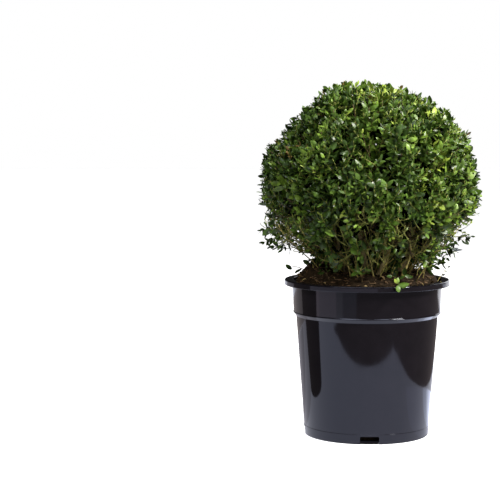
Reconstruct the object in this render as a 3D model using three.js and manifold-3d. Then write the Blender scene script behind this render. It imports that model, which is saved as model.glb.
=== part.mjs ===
// A box shrub clipped to a ball, growing on several stems out of the root ball of a round nursery pot.
// Millimetres, +Z up. The origin is the centre of the pot's flat underside, and -Y is the front.
import * as THREE from "three";
import { mergeVertices } from "three/addons/utils/BufferGeometryUtils.js";
import Module from "manifold-3d";

const wasm = await Module();
wasm.setup();

const UP = new THREE.Vector3(0, 0, 1);
const FULL_TURN = 2 * Math.PI;
const GOLDEN_ANGLE = Math.PI * (3 - Math.sqrt(5));
const SEAT_GAP = 0.3; // what every piece keeps to the piece that carries it
const SEED = 8; // of every random draw
const SMALLEST_DETAIL = 0.03; // shorter edges left by joining many leaves are merged away
const SAME_POINT = 1e-4;

// The pot, outside sizes
const POT_HEIGHT = 227;
const POT_SEGMENTS = 56;
const RIM_RADIUS = 120;
const LIP_HEIGHT = 8;
const LIP_ROUND = 2;
const COLLAR_TOP_RADIUS = 109;
const COLLAR_FOOT_RADIUS = 106.8;
const STEP_TOP_Z = 179;
const STEP_DROP = 5;
const BODY_TOP_RADIUS = 103.1;
const FOOT_RADIUS = 90;
const FOOT_ROUND = 2;
const FOOT_BAND_HEIGHT = 14;
const FOOT_BAND_PROUD = 0.5;
const WALL = 1.8;
const BASE_PLATE = 3;
const NOTCHES = 4;
const NOTCH_TURN = THREE.MathUtils.degToRad(-1); // of the front notch, towards the right
const NOTCH_WIDTH = 27;
const NOTCH_HEIGHT = 11.5;
const NOTCH_INNER_RADIUS = 72;

// The root ball that fills the pot, with its mounded top
const ROOT_BALL_CLEARANCE = 0.5;
const ROOT_BALL_SEGMENTS = 32;
const MOUND_Z = 238;
const MOUND_FLAT_RADIUS = 60;
const SOIL_EDGE_Z = 219;
const MOUND_STEPS = 4;

// The clipped ball, the denser core that its shoots stand out of, and the hollow under the core
const BALL_CENTRE = new THREE.Vector3(3, 0, 356);
const BALL_RADIUS = 161;
const BALL_UNEVEN = 4; // how far below the clipped surface the shortest shoot ends
const CORE_RADIUS = 136;
const CORE_FOOT_ELEVATION = THREE.MathUtils.degToRad(-42);
const CORE_SEGMENTS = 18;
const CORE_STEPS = 8;
const HOLLOW_FOOT_RADIUS = 78;
const HOLLOW_FOOT_Z = 252;
const HOLLOW_TOP_Z = 338;
const HOLLOW_STEPS = 4;
const SKIRT_INNER_RADIUS = 84;
const SKIRT_INNER_Z = 247;
const SKIRT_OUTER_Z = 275;

// The leafy shoots of the ball, larger than life and fewer than on the plant. A shoot has a lower
// leaf pair that spreads wide and an end pair that stands up around its tip.
const SHOOTS = 102;
const SHOOT_SUNK = 8;
const SHOOT_RADIUS = 1.6;
const SHOOT_TAPER = 0.7; // tip radius as a share of the root's
const SHOOT_LIFT = 0.22; // how far a shoot turns up towards the light
const SHOOT_WANDER = 0.25;
const LOWER_PAIR = { share: 0.66, opening: 66, leaf: { length: 27, width: 17, thick: 0.8 } };
const END_PAIR = { share: 0.95, opening: 30, leaf: { length: 21, width: 13, thick: 0.7 } };
const LEAF_SUNK = 0.5; // of a leaf's root past the middle of its shoot
const LEAF_CUP = 0.2; // rise of a leaf's edge as a share of half its width
const LEAF_SIZES = [0.88, 1.08];
const OPENING_SPREAD = 8; // degrees that a leaf opens more or less than its pair's own angle
const LEAF_CLEARANCE = 1; // from a leaf's corners to any limb, wall or soil

// The stems: angle and distance of the foot, radius above the flare, the lean and its direction, and
// the height of the fork. Each entry of boughs is the angle and the distance from the ball's axis at
// which one enters the core, and the first goes on from the stem's own tip.
const STEMS = [
  {
    name: "right",
    foot: [-2, 50], girth: 5, lean: 15, leanTo: 0, fork: 44,
    boughs: [[2, 67], [-32, 64], [30, 62]],
  },
  {
    name: "centre",
    foot: [-95, 13], girth: 4.2, lean: 10, leanTo: 180, fork: 50,
    boughs: [[205, 24], [-72, 40], [-128, 44]],
  },
  {
    name: "left",
    foot: [190, 31], girth: 3.8, lean: 17, leanTo: 188, fork: 42,
    boughs: [[190, 58], [216, 66], [166, 64]],
  },
  {
    name: "rear_right",
    foot: [60, 38], girth: 4.4, lean: 9, leanTo: 50, fork: 46,
    boughs: [[56, 50], [84, 66]],
  },
  {
    name: "rear_left",
    foot: [125, 44], girth: 4, lean: 9, leanTo: 130, fork: 43,
    boughs: [[128, 56], [106, 68], [146, 70]],
  },
  {
    name: "front",
    foot: [-76, 50], girth: 2.8, lean: 22, leanTo: 0, fork: 38,
    boughs: [[-54, 62], [-92, 68]],
  },
];
const STEM_SIDES = 8;
const STEM_STEPS = 6;
const START_DEPTH = 3; // how far under its foot the curve of a stem or low shoot starts
const STEM_TAPER = 0.72; // tip radius as a share of the radius above the flare
const STEM_BENDS = [{ along: 0.3, lift: 0.08 }, { along: 0.72, lift: -0.04 }]; // as shares of the fork
const FLARE = 0.55; // how much wider a stem is at the soil than just above it
const FLARE_SHARE = 0.12;
const BOUGH_SIDES = 6;
const BOUGH_STEPS = 6;
const BOUGH_TAPER = 0.55;
const BOUGH_SUNK = 14; // how deep a bough enters the core
const BOUGH_PULL = { out: 0.34, into: 0.3 }; // how far it keeps its first and last direction
const BOUGH_UPTURN = 0.5; // how far it turns upright before it enters
const SIDE_BOUGH_GIRTH = 0.7; // radius as a share of the stem's where it leaves
const SIDE_BOUGH_FORKS = [0.86, 0.62]; // how far up the stem
const SIDE_BOUGH_TURN = 0.8; // how far it leaves the stem's direction for its own
const LIMB_GAP = SEAT_GAP / Math.cos(Math.PI / BOUGH_SIDES); // keeps the seat gap on flat sides too

// The short leafy shoots that stand on the root ball by themselves
const LOW_SHOOTS = [
  { name: "left", foot: [176, 82], reach: 36, rise: 15 },
  { name: "right", foot: [7, 84], reach: 28, rise: 20 },
  { name: "front_right", foot: [-64, 84], reach: 33, rise: 14 },
  { name: "front", foot: [-99, 80], reach: 17, rise: 14 },
  { name: "front_left", foot: [-134, 82], reach: 18, rise: 15 },
  { name: "rear", foot: [88, 82], reach: 22, rise: 16 },
];
const LOW_SHOOT_RADIUS = 1.5;
const LOW_SHOOT_TAPER = 0.6;
const LOW_SHOOT_SIDES = 5;
const LOW_SHOOT_STEPS = 5;
const LOW_SHOOT_ARCH = { out: 0.2, up: 0.9 }; // as shares of its reach and rise
const LOW_PAIR = { opening: 52, leaf: { length: 17, width: 10, thick: 0.6 } };
const LOW_PAIR_SHARES = [0.4, 0.69, 0.98];

// A seeded stream of numbers from 0 to 1, the same on every run
function seededStream(seed) {
  let state = seed >>> 0;
  return () => {
    state = (state + 0x6d2b79f5) >>> 0;
    let mixed = Math.imul(state ^ (state >>> 15), state | 1);
    mixed ^= mixed + Math.imul(mixed ^ (mixed >>> 7), mixed | 61);
    return ((mixed ^ (mixed >>> 14)) >>> 0) / 4294967296;
  };
}

// Solids

function solidFrom(geometry) {
  const plain = geometry.clone();
  plain.deleteAttribute("normal");
  plain.deleteAttribute("uv");
  const merged = mergeVertices(plain, SAME_POINT);
  const mesh = new wasm.Mesh({
    numProp: 3,
    vertProperties: new Float32Array(merged.attributes.position.array),
    triVerts: new Uint32Array(merged.index.array),
  });
  return new wasm.Manifold(mesh);
}

function geometryFrom(solid) {
  const mesh = solid.getMesh();
  return new THREE.BufferGeometry()
    .setAttribute("position", new THREE.BufferAttribute(mesh.vertProperties, 3))
    .setIndex(new THREE.BufferAttribute(mesh.triVerts, 1));
}

// The largest closed body of a solid: loose scraps and sealed hollows are left behind
function largestBody(solid) {
  return solid.decompose().reduce((best, body) => (body.volume() > best.volume() ? body : best));
}

function turned(profile, segments) {
  const points = profile.map(([radius, height]) => new THREE.Vector2(radius, height));
  return new THREE.LatheGeometry(points, segments).rotateX(Math.PI / 2);
}

// A cylinder bent along a curve, whose radius follows radiusAt from 0 at its start to 1 at its end.
// grow makes it fatter and longer all round, for cutting a neighbour clear of it.
function taperedTube(curve, steps, sides, radiusAt, grow = 0) {
  const tube = new THREE.CylinderGeometry(1, 1, 1, sides, steps);
  const { tangents, normals, binormals } = curve.computeFrenetFrames(steps);
  const points = tube.attributes.position;
  for (let index = 0; index < points.count; index += 1) {
    const share = points.getY(index) + 0.5;
    const step = Math.round(share * steps);
    const radius = radiusAt(share) + grow;
    const beyond = (step === steps ? grow : 0) - (step === 0 ? grow : 0);
    const place = curve
      .getPointAt(share)
      .addScaledVector(tangents[step], beyond)
      .addScaledVector(binormals[step], points.getX(index) * radius)
      .addScaledVector(normals[step], points.getZ(index) * radius);
    points.setXYZ(index, place.x, place.y, place.z);
  }
  return tube;
}

// Pot

function bodyRadiusAt(z) {
  const share = z / (STEP_TOP_Z - STEP_DROP);
  return THREE.MathUtils.lerp(FOOT_RADIUS, BODY_TOP_RADIUS, share);
}

function innerWallProfile(clearance, topZ) {
  const inset = WALL + clearance;
  const share = (topZ - STEP_TOP_Z) / (POT_HEIGHT - STEP_TOP_Z);
  return [
    [bodyRadiusAt(BASE_PLATE) - inset, BASE_PLATE + clearance],
    [BODY_TOP_RADIUS - inset, STEP_TOP_Z - STEP_DROP],
    [COLLAR_FOOT_RADIUS - inset, STEP_TOP_Z],
    [THREE.MathUtils.lerp(COLLAR_FOOT_RADIUS, COLLAR_TOP_RADIUS, share) - inset, topZ],
  ];
}

function potSolid() {
  const lipFootZ = POT_HEIGHT - LIP_HEIGHT;
  const lipInnerRadius = RIM_RADIUS - WALL;
  const profile = [
    [0, 0],
    [FOOT_RADIUS - FOOT_ROUND, 0],
    [bodyRadiusAt(FOOT_ROUND) + FOOT_BAND_PROUD, FOOT_ROUND],
    [bodyRadiusAt(FOOT_BAND_HEIGHT) + FOOT_BAND_PROUD, FOOT_BAND_HEIGHT],
    [bodyRadiusAt(FOOT_BAND_HEIGHT + FOOT_BAND_PROUD), FOOT_BAND_HEIGHT + FOOT_BAND_PROUD],
    [BODY_TOP_RADIUS, STEP_TOP_Z - STEP_DROP],
    [COLLAR_FOOT_RADIUS, STEP_TOP_Z],
    [COLLAR_TOP_RADIUS, POT_HEIGHT - WALL],
    [lipInnerRadius, POT_HEIGHT - WALL],
    [lipInnerRadius, lipFootZ],
    [RIM_RADIUS, lipFootZ],
    [RIM_RADIUS, POT_HEIGHT - LIP_ROUND],
    [RIM_RADIUS - LIP_ROUND, POT_HEIGHT],
    ...innerWallProfile(0, POT_HEIGHT).reverse(),
    [0, BASE_PLATE],
  ];
  const notchLength = RIM_RADIUS - NOTCH_INNER_RADIUS;
  const notch = new THREE.BoxGeometry(NOTCH_WIDTH, notchLength, 2 * NOTCH_HEIGHT);
  notch.translate(0, -(NOTCH_INNER_RADIUS + notchLength / 2), 0).rotateZ(NOTCH_TURN);
  let pot = solidFrom(turned(profile, POT_SEGMENTS));
  for (let index = 0; index < NOTCHES; index += 1) {
    pot = pot.subtract(solidFrom(notch));
    notch.rotateZ(FULL_TURN / NOTCHES);
  }
  return pot;
}

// Root ball

function soilHeightAt(radius) {
  const edge = COLLAR_TOP_RADIUS - WALL;
  const share = THREE.MathUtils.clamp((radius - MOUND_FLAT_RADIUS) / (edge - MOUND_FLAT_RADIUS), 0, 1);
  return THREE.MathUtils.lerp(MOUND_Z, SOIL_EDGE_Z, THREE.MathUtils.smoothstep(share, 0, 1));
}

function rootBallSolid() {
  const side = innerWallProfile(ROOT_BALL_CLEARANCE, SOIL_EDGE_Z);
  const edgeRadius = side[side.length - 1][0];
  const mound = [];
  for (let step = 1; step <= MOUND_STEPS; step += 1) {
    const radius = THREE.MathUtils.lerp(edgeRadius, MOUND_FLAT_RADIUS, step / MOUND_STEPS);
    mound.push([radius, soilHeightAt(radius)]);
  }
  const floorZ = BASE_PLATE + ROOT_BALL_CLEARANCE;
  return solidFrom(turned([[0, floorZ], ...side, ...mound, [0, MOUND_Z]], ROOT_BALL_SEGMENTS));
}

// Stems and boughs

function onCircle(degrees, radius, z) {
  const angle = THREE.MathUtils.degToRad(degrees);
  return new THREE.Vector3(radius * Math.cos(angle), radius * Math.sin(angle), z);
}

function stemLimb({ foot, girth, lean, leanTo, fork }) {
  const height = fork + START_DEPTH;
  const drift = height * Math.tan(THREE.MathUtils.degToRad(lean));
  const start = onCircle(...foot, MOUND_Z - START_DEPTH);
  const end = start.clone().add(onCircle(leanTo, drift, height));
  const bends = STEM_BENDS.map(({ along, lift }) => {
    return start.clone().lerp(end, along).addScaledVector(UP, fork * lift);
  });
  const radiusAt = (share) => {
    const flare = 1 + FLARE * Math.exp(-share / FLARE_SHARE);
    return girth * THREE.MathUtils.lerp(1, STEM_TAPER, share) * flare;
  };
  const curve = new THREE.CubicBezierCurve3(start, ...bends, end);
  return { curve, radiusAt, sides: STEM_SIDES, steps: STEM_STEPS };
}

// The height of the hollow under the core at a distance from the ball's axis
function hollowHeightAt(radius) {
  const rise = Math.sqrt(Math.max(0, 1 - (radius / HOLLOW_FOOT_RADIUS) ** 2));
  return THREE.MathUtils.lerp(HOLLOW_FOOT_Z, HOLLOW_TOP_Z, rise);
}

function boughLimb(stem, index, row) {
  const leader = index === 0;
  const share = leader ? 1 : SIDE_BOUGH_FORKS[index - 1];
  const start = stem.curve.getPointAt(share);
  const along = stem.curve.getTangentAt(share);
  if (leader) start.addScaledVector(along, SEAT_GAP);
  const [angle, reach] = row.boughs[index];
  const end = onCircle(angle, reach, hollowHeightAt(reach) + BOUGH_SUNK);
  end.x += BALL_CENTRE.x;
  const span = start.distanceTo(end);
  const towards = end.clone().sub(start).normalize();
  const leave = leader ? along : along.clone().lerp(towards, SIDE_BOUGH_TURN).normalize();
  const enter = towards.lerp(UP, BOUGH_UPTURN).normalize();
  const rise = start.clone().addScaledVector(leave, span * BOUGH_PULL.out);
  const bend = end.clone().addScaledVector(enter, -span * BOUGH_PULL.into);
  const radius = stem.radiusAt(share) * (leader ? 1 : SIDE_BOUGH_GIRTH);
  const radiusAt = (at) => radius * THREE.MathUtils.lerp(1, BOUGH_TAPER, at);
  const curve = new THREE.CubicBezierCurve3(start, rise, bend, end);
  return { curve, radiusAt, sides: BOUGH_SIDES, steps: BOUGH_STEPS };
}

function limbSolid({ curve, radiusAt, sides, steps }, grow = 0) {
  return solidFrom(taperedTube(curve, steps, sides, radiusAt, grow));
}

// Every stem with its boughs, each a solid of its own
function growLimbs() {
  const grown = [];
  for (const row of STEMS) {
    const stem = stemLimb(row);
    const standing = limbSolid(stem).trimByPlane([0, 0, 1], MOUND_Z + SEAT_GAP);
    grown.push({ name: `stem_${row.name}`, ...stem, solid: standing });
    let taken = limbSolid(stem, LIMB_GAP);
    row.boughs.forEach((_, index) => {
      const bough = boughLimb(stem, index, row);
      const whole = limbSolid(bough);
      const solid = index === 0 ? whole : largestBody(whole.subtract(taken));
      grown.push({ name: `bough_${row.name}_${index + 1}`, ...bough, solid });
      taken = taken.add(limbSolid(bough, LIMB_GAP));
    });
  }
  return grown;
}

function clearanceTo(point, limb) {
  const samples = 2 * limb.steps;
  const gaps = limb.curve.getSpacedPoints(samples).map((centre, index) => {
    return centre.distanceTo(point) - limb.radiusAt(index / samples);
  });
  return Math.min(...gaps);
}

// Leaves and shoots

// A leaf of eight faces from its root along +X, with its two edges cupped a little upwards
function leafGeometry({ length, width, thick }) {
  const leaf = new THREE.OctahedronGeometry(0.5).scale(length, width, thick).translate(length / 2, 0, 0);
  const points = leaf.attributes.position;
  for (let index = 0; index < points.count; index += 1) {
    points.setZ(index, points.getZ(index) + LEAF_CUP * Math.abs(points.getY(index)));
  }
  return leaf;
}

// Whether a point is within the clipped surface of the ball and above its underside
function insideBall(point) {
  const radius = Math.hypot(point.x - BALL_CENTRE.x, point.y);
  const share = (radius - SKIRT_INNER_RADIUS) / (BALL_RADIUS - SKIRT_INNER_RADIUS);
  const skirtZ = THREE.MathUtils.lerp(SKIRT_INNER_Z, SKIRT_OUTER_Z, THREE.MathUtils.clamp(share, 0, 1));
  return point.distanceTo(BALL_CENTRE) <= BALL_RADIUS && point.z >= skirtZ;
}

// One leaf with its root at a point, or nothing where a corner of it has no room
function leafSolid(leaf, root, blade, face, size, fits) {
  const edge = new THREE.Vector3().crossVectors(face, blade);
  const place = new THREE.Matrix4().makeBasis(blade, edge, face).scale(new THREE.Vector3(size, size, size));
  place.setPosition(root);
  const geometry = leafGeometry(leaf).applyMatrix4(place);
  const corners = geometry.attributes.position;
  for (let corner = 0; corner < corners.count; corner += 1) {
    if (!fits(new THREE.Vector3().fromBufferAttribute(corners, corner))) return [];
  }
  return [solidFrom(geometry)];
}

// The direction square to a shoot that its first leaf pair opens in, turned by spin about the shoot
function pairDirection(along, spin) {
  const beside = Math.abs(along.z) > 0.9 ? new THREE.Vector3(1, 0, 0) : UP;
  return new THREE.Vector3().crossVectors(along, beside).normalize().applyAxisAngle(along, spin);
}

// Two leaves opposite each other on a shoot
function leafPair(at, along, spin, { opening, leaf }, random, fits) {
  const across = pairDirection(along, spin);
  const pair = [];
  for (const side of [1, -1]) {
    const angle = THREE.MathUtils.degToRad(opening + OPENING_SPREAD * (2 * random() - 1));
    const size = THREE.MathUtils.lerp(...LEAF_SIZES, random());
    const outward = across.clone().multiplyScalar(side);
    const blade = along.clone().multiplyScalar(Math.cos(angle)).addScaledVector(outward, Math.sin(angle));
    const face = along.clone().multiplyScalar(Math.sin(angle)).addScaledVector(outward, -Math.cos(angle));
    const root = at.clone().addScaledVector(blade, -LEAF_SUNK);
    pair.push(...leafSolid(leaf, root, blade, face, size, fits));
  }
  return pair;
}

// A point on a golden spiral that covers a ball evenly from its top down
function spiralDirection(index, count) {
  const height = 1 - (2 * index + 1) / count;
  const ring = Math.sqrt(1 - height * height);
  const angle = index * GOLDEN_ANGLE;
  return new THREE.Vector3(ring * Math.cos(angle), ring * Math.sin(angle), height);
}

function coreSolid() {
  const profile = [];
  for (let step = 0; step <= HOLLOW_STEPS; step += 1) {
    const radius = HOLLOW_FOOT_RADIUS * Math.sin((step / HOLLOW_STEPS) * (Math.PI / 2));
    profile.push([radius, hollowHeightAt(radius)]);
  }
  for (let step = 0; step <= CORE_STEPS; step += 1) {
    const elevation = THREE.MathUtils.lerp(CORE_FOOT_ELEVATION, Math.PI / 2, step / CORE_STEPS);
    const radius = step === CORE_STEPS ? 0 : CORE_RADIUS * Math.cos(elevation);
    profile.push([radius, BALL_CENTRE.z + CORE_RADIUS * Math.sin(elevation)]);
  }
  return solidFrom(turned(profile, CORE_SEGMENTS).translate(BALL_CENTRE.x, 0, 0));
}

// One shoot of the ball. It leaves the core outward and a little upward, and carries two leaf pairs
// square to each other, of which the end pair reaches the clipped surface.
function ballShoot(index, fits) {
  const random = seededStream(SEED + index);
  const outward = spiralDirection(index, SHOOTS);
  const drift = new THREE.Vector3(random() - 0.5, random() - 0.5, random() - 0.5);
  const along = outward.clone().addScaledVector(UP, SHOOT_LIFT * (1 - Math.abs(outward.z)));
  along.addScaledVector(drift, 2 * SHOOT_WANDER).normalize();
  const from = BALL_CENTRE.clone().addScaledVector(outward, CORE_RADIUS - SHOOT_SUNK);
  const leafReach = END_PAIR.leaf.length * Math.cos(THREE.MathUtils.degToRad(END_PAIR.opening));
  const endRadius = BALL_RADIUS - leafReach - BALL_UNEVEN * random();
  const end = from.clone().addScaledVector(along, endRadius - CORE_RADIUS + SHOOT_SUNK);
  end.sub(BALL_CENTRE).setLength(endRadius).add(BALL_CENTRE);
  if (!fits(end) || !fits(from)) return [];
  const direction = end.clone().sub(from).normalize();
  const curve = new THREE.LineCurve3(from, end);
  const radiusAt = (share) => SHOOT_RADIUS * THREE.MathUtils.lerp(1, SHOOT_TAPER, share);
  const spin = random() * Math.PI;
  const leaves = [LOWER_PAIR, END_PAIR].flatMap((pair, order) => {
    const at = curve.getPointAt(pair.share);
    return leafPair(at, direction, spin + (order * Math.PI) / 2, pair, random, fits);
  });
  return [solidFrom(taperedTube(curve, 1, 3, radiusAt)), ...leaves];
}

function touches(one, other) {
  const [a, b] = [one.boundingBox(), other.boundingBox()];
  const apart = [0, 1, 2].some((axis) => a.min[axis] > b.max[axis] || b.min[axis] > a.max[axis]);
  return !apart && one.minGap(other, SEAT_GAP) < SEAT_GAP;
}

// The clipped ball: its shoots are fused with the core, and the whole is cut clear of the limbs
function ballSolid(limbs, lowShoots) {
  const taken = lowShoots.map((solid) => {
    const { min, max } = solid.boundingBox();
    return new THREE.Box3(new THREE.Vector3(...min), new THREE.Vector3(...max));
  });
  const fits = (point) => {
    const clear = limbs.every((limb) => clearanceTo(point, limb) > LEAF_CLEARANCE);
    return clear && insideBall(point) && !taken.some((box) => box.containsPoint(point));
  };
  const pieces = [];
  for (let index = 0; index < SHOOTS; index += 1) {
    const earlier = pieces.length;
    for (const piece of ballShoot(index, fits)) {
      if (!pieces.slice(0, earlier).some((other) => touches(piece, other))) pieces.push(piece);
    }
  }
  const grown = wasm.Manifold.union([coreSolid(), ...pieces]);
  const sockets = wasm.Manifold.union(limbs.map((limb) => limbSolid(limb, LIMB_GAP)));
  return largestBody(grown.subtract(sockets)).simplify(SMALLEST_DETAIL);
}

// A short shoot that stands on the sloping top of the root ball and arches outward over it
function lowShootSolid({ foot, reach, rise }, index, rootBall) {
  const random = seededStream(SEED + SHOOTS + index);
  const [angle, radius] = foot;
  const soilZ = soilHeightAt(radius);
  const start = onCircle(angle, radius, soilZ - START_DEPTH);
  const arch = onCircle(angle, radius + reach * LOW_SHOOT_ARCH.out, soilZ + rise * LOW_SHOOT_ARCH.up);
  const end = onCircle(angle, radius + reach, soilZ + rise);
  const curve = new THREE.QuadraticBezierCurve3(start, arch, end);
  const radiusAt = (share) => LOW_SHOOT_RADIUS * THREE.MathUtils.lerp(1, LOW_SHOOT_TAPER, share);
  const pieces = [solidFrom(taperedTube(curve, LOW_SHOOT_STEPS, LOW_SHOOT_SIDES, radiusAt))];
  const fits = (point) => {
    const distance = Math.hypot(point.x, point.y);
    const overWall = distance > COLLAR_TOP_RADIUS - 2 * WALL;
    return point.z > LEAF_CLEARANCE + (overWall ? POT_HEIGHT : soilHeightAt(distance));
  };
  LOW_PAIR_SHARES.forEach((share, order) => {
    const at = curve.getPointAt(share);
    const along = curve.getTangentAt(share);
    pieces.push(...leafPair(at, along, (order * Math.PI) / 2, LOW_PAIR, random, fits));
  });
  const soil = rootBall.translate([0, 0, LIMB_GAP]);
  return largestBody(wasm.Manifold.union(pieces).subtract(soil));
}

// Materials and the finished group

const blackPlastic = new THREE.MeshStandardMaterial({ color: 0x1c1c20, roughness: 0.25, metalness: 0 });
const compost = new THREE.MeshStandardMaterial({ color: 0x2e2117, roughness: 1, metalness: 0 });
const bark = new THREE.MeshStandardMaterial({ color: 0x6b5a3a, roughness: 0.9, metalness: 0 });
const foliage = new THREE.MeshStandardMaterial({ color: 0x2f5a1c, roughness: 0.45, metalness: 0 });

function addPiece(group, name, solid, material) {
  const mesh = new THREE.Mesh(geometryFrom(solid), material);
  mesh.name = name;
  group.add(mesh);
}

const potted = new THREE.Group();
const rootBall = rootBallSolid();
addPiece(potted, "pot", potSolid(), blackPlastic);
addPiece(potted, "root_ball", rootBall, compost);

const wood = new THREE.Group();
const limbs = growLimbs();
for (const limb of limbs) addPiece(wood, limb.name, limb.solid, bark);

const leafage = new THREE.Group();
const lowShoots = LOW_SHOOTS.map((row, index) => lowShootSolid(row, index, rootBall));
addPiece(leafage, "clipped_ball", ballSolid(limbs, lowShoots), foliage);
LOW_SHOOTS.forEach((row, index) => addPiece(leafage, `low_shoot_${row.name}`, lowShoots[index], foliage));

const plant = new THREE.Group();
plant.add(potted, wood, leafage);

export default plant;
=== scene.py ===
"""Finishes the potted box ball round its solids: pot, compost, wood, foliage and a plain studio.

Inside the script lengths are in millimetres, +Z is up and -Y is the front. Meshes are made in metres.
"""

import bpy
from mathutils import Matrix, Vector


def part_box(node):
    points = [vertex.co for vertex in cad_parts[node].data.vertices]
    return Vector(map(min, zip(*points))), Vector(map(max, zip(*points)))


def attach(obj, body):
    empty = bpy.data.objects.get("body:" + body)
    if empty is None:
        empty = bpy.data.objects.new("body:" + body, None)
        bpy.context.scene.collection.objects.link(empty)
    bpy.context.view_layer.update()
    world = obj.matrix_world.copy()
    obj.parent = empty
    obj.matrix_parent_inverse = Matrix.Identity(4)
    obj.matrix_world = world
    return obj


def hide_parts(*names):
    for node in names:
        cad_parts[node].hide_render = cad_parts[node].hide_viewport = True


bl_info = {
    "name": "Box Ball in a Nursery Pot",
    "version": (1, 0, 0),
    "blender": (4, 5, 0),
    "location": "3D View > Sidebar > Box Ball",
    "description": "Builds a clipped box ball with its stems, compost and pot round the packed solids",
    "category": "Add Mesh",
}

import math

import bpy
import numpy as np

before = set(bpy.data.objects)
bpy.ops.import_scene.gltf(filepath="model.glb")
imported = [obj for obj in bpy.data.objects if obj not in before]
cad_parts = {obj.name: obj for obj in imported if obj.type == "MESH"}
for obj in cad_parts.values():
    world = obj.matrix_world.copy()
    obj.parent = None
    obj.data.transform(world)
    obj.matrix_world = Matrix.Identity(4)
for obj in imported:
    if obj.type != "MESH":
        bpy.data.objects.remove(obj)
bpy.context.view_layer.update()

MM = 0.001
BODY = "root"
UP = np.array((0.0, 0.0, 1.0))
GOLDEN_ANGLE = math.pi * (3 - math.sqrt(5))
WORD = 0xFFFFFFFF
SQUARE = ((-1, -1), (1, -1), (1, 1), (-1, 1))


def node_box(node):
    """Lowest and highest corner of a solid, in millimetres."""
    low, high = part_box(node)
    return np.array(low) / MM, np.array(high) / MM


# Pot and compost, as their solids have them

POT_HEIGHT = node_box("pot")[1][2]
RIM_RADIUS = node_box("pot")[1][0]
LIP_HEIGHT = 8
COLLAR_TOP_RADIUS = 109
COLLAR_FOOT_RADIUS = 106.8
STEP_TOP_Z = 179
STEP_DROP = 5
BODY_TOP_RADIUS = 103.1
FOOT_RADIUS = 90
FOOT_BAND_HEIGHT = 14
FOOT_BAND_PROUD = 0.4
WALL = 1.8
BASE_PLATE = 3
NOTCHES = 4
NOTCH_TURN = -1
NOTCH_WIDTH = 27
NOTCH_HEIGHT = 11.5
NOTCH_INNER_RADIUS = 72
BEAD_HEIGHT = 1.8
BEAD_PROUD = 0.7
COMPOST_CLEARANCE = 0.5
COMPOST_CORNER_Z = 14
COMPOST_CORNER_BACK = 15
MOUND_Z = node_box("root_ball")[1][2]
MOUND_FLAT_RADIUS = 60
SOIL_EDGE_Z = 219
MOUND_RINGS = 52
MOUND_SEGMENTS = 160
# Heaps of the compost beside the stems: x, y, rise and spread
SOIL_HEAPS = ((-74, 26, 22, 32), (90, 6, 13, 24))
# Small and large crumbs: their share, and from and to what radius
CRUMBS = ((0.7, 0.5, 1.2), (0.3, 1.0, 2.7))
# Dark and light of what lies on the compost
CHIP_COLOURS = ((0.04, 0.022, 0.012), (0.2, 0.115, 0.055))
DEAD_LEAF_COLOURS = ((0.14, 0.085, 0.035), (0.42, 0.31, 0.13))
LITTER_COLOUR = (0.16, 0.1, 0.05)

# The ball's clipped surface and its underside

BALL_CENTRE = np.array((3.0, 0.0, 356.0))
BALL_RADIUS = 161
CORE_RADIUS = 136
HOLLOW_FOOT_RADIUS = 78
HOLLOW_FOOT_Z = 252
HOLLOW_TOP_Z = 338
SKIRT_INNER_RADIUS = 84
SKIRT_INNER_Z = 247
SKIRT_OUTER_Z = 275

# Stems: where each foot stands (degrees from +X, radius), its girth, how far and which way it leans,
# the height of its fork, and the direction and reach of its boughs, the leader first

STEMS = {
    "right": {
        "foot": (-2, 50), "girth": 5, "lean": (15, 0), "fork": 44,
        "boughs": ((2, 67), (-32, 64), (30, 62)),
    },
    "centre": {
        "foot": (-95, 13), "girth": 4.2, "lean": (10, 180), "fork": 50,
        "boughs": ((205, 24), (-72, 40), (-128, 44)),
    },
    "left": {
        "foot": (190, 31), "girth": 3.8, "lean": (17, 188), "fork": 42,
        "boughs": ((190, 58), (216, 66), (166, 64)),
    },
    "rear_right": {
        "foot": (60, 38), "girth": 4.4, "lean": (9, 50), "fork": 46,
        "boughs": ((56, 50), (84, 66)),
    },
    "rear_left": {
        "foot": (125, 44), "girth": 4, "lean": (9, 130), "fork": 43,
        "boughs": ((128, 56), (106, 68), (146, 70)),
    },
    "front": {
        "foot": (-76, 50), "girth": 2.8, "lean": (22, 0), "fork": 38,
        "boughs": ((-54, 62), (-92, 68)),
    },
}
START_DEPTH = 3
STEM_TAPER = 0.72
STEM_BENDS = ((0.3, 0.08), (0.72, -0.04))
FLARE = 0.55
FLARE_SHARE = 0.12
BOUGH_TAPER = 0.55
BOUGH_SUNK = 14
BOUGH_PULL_OUT = 0.34
BOUGH_PULL_INTO = 0.3
BOUGH_UPTURN = 0.5
SIDE_BOUGH_GIRTH = 0.7
SIDE_BOUGH_FORKS = (0.86, 0.62)
SIDE_BOUGH_TURN = 0.8
STEM_SIDES = 26
BOUGH_SIDES = 18
WEATHERED_BARK = (0.15, 0.16, 0.095)

# The studio, in metres. Painted reflections that only the polished pot's gloss sees: a dark sheet on the
# floor, and a dark flag

DARK_REFLECTION_CARD = (
    (-0.6, -0.39), (-0.47, -0.425), (0.345, -0.452), (0.372, -0.38), (0.372, -0.06), (0.345, 0.15),
    (0.31, 0.48), (0.3, 1.1), (3, 1.1), (3, -3), (-0.2, -3), (-0.5, -0.95),
)
DARK_REFLECTION_CARD_Z = 0.002
DARK_FLAG = (-0.38, 0.02)
DARK_FLAG_RINGS = ((0.09, 0.001), (0.115, 0.3))
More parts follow.
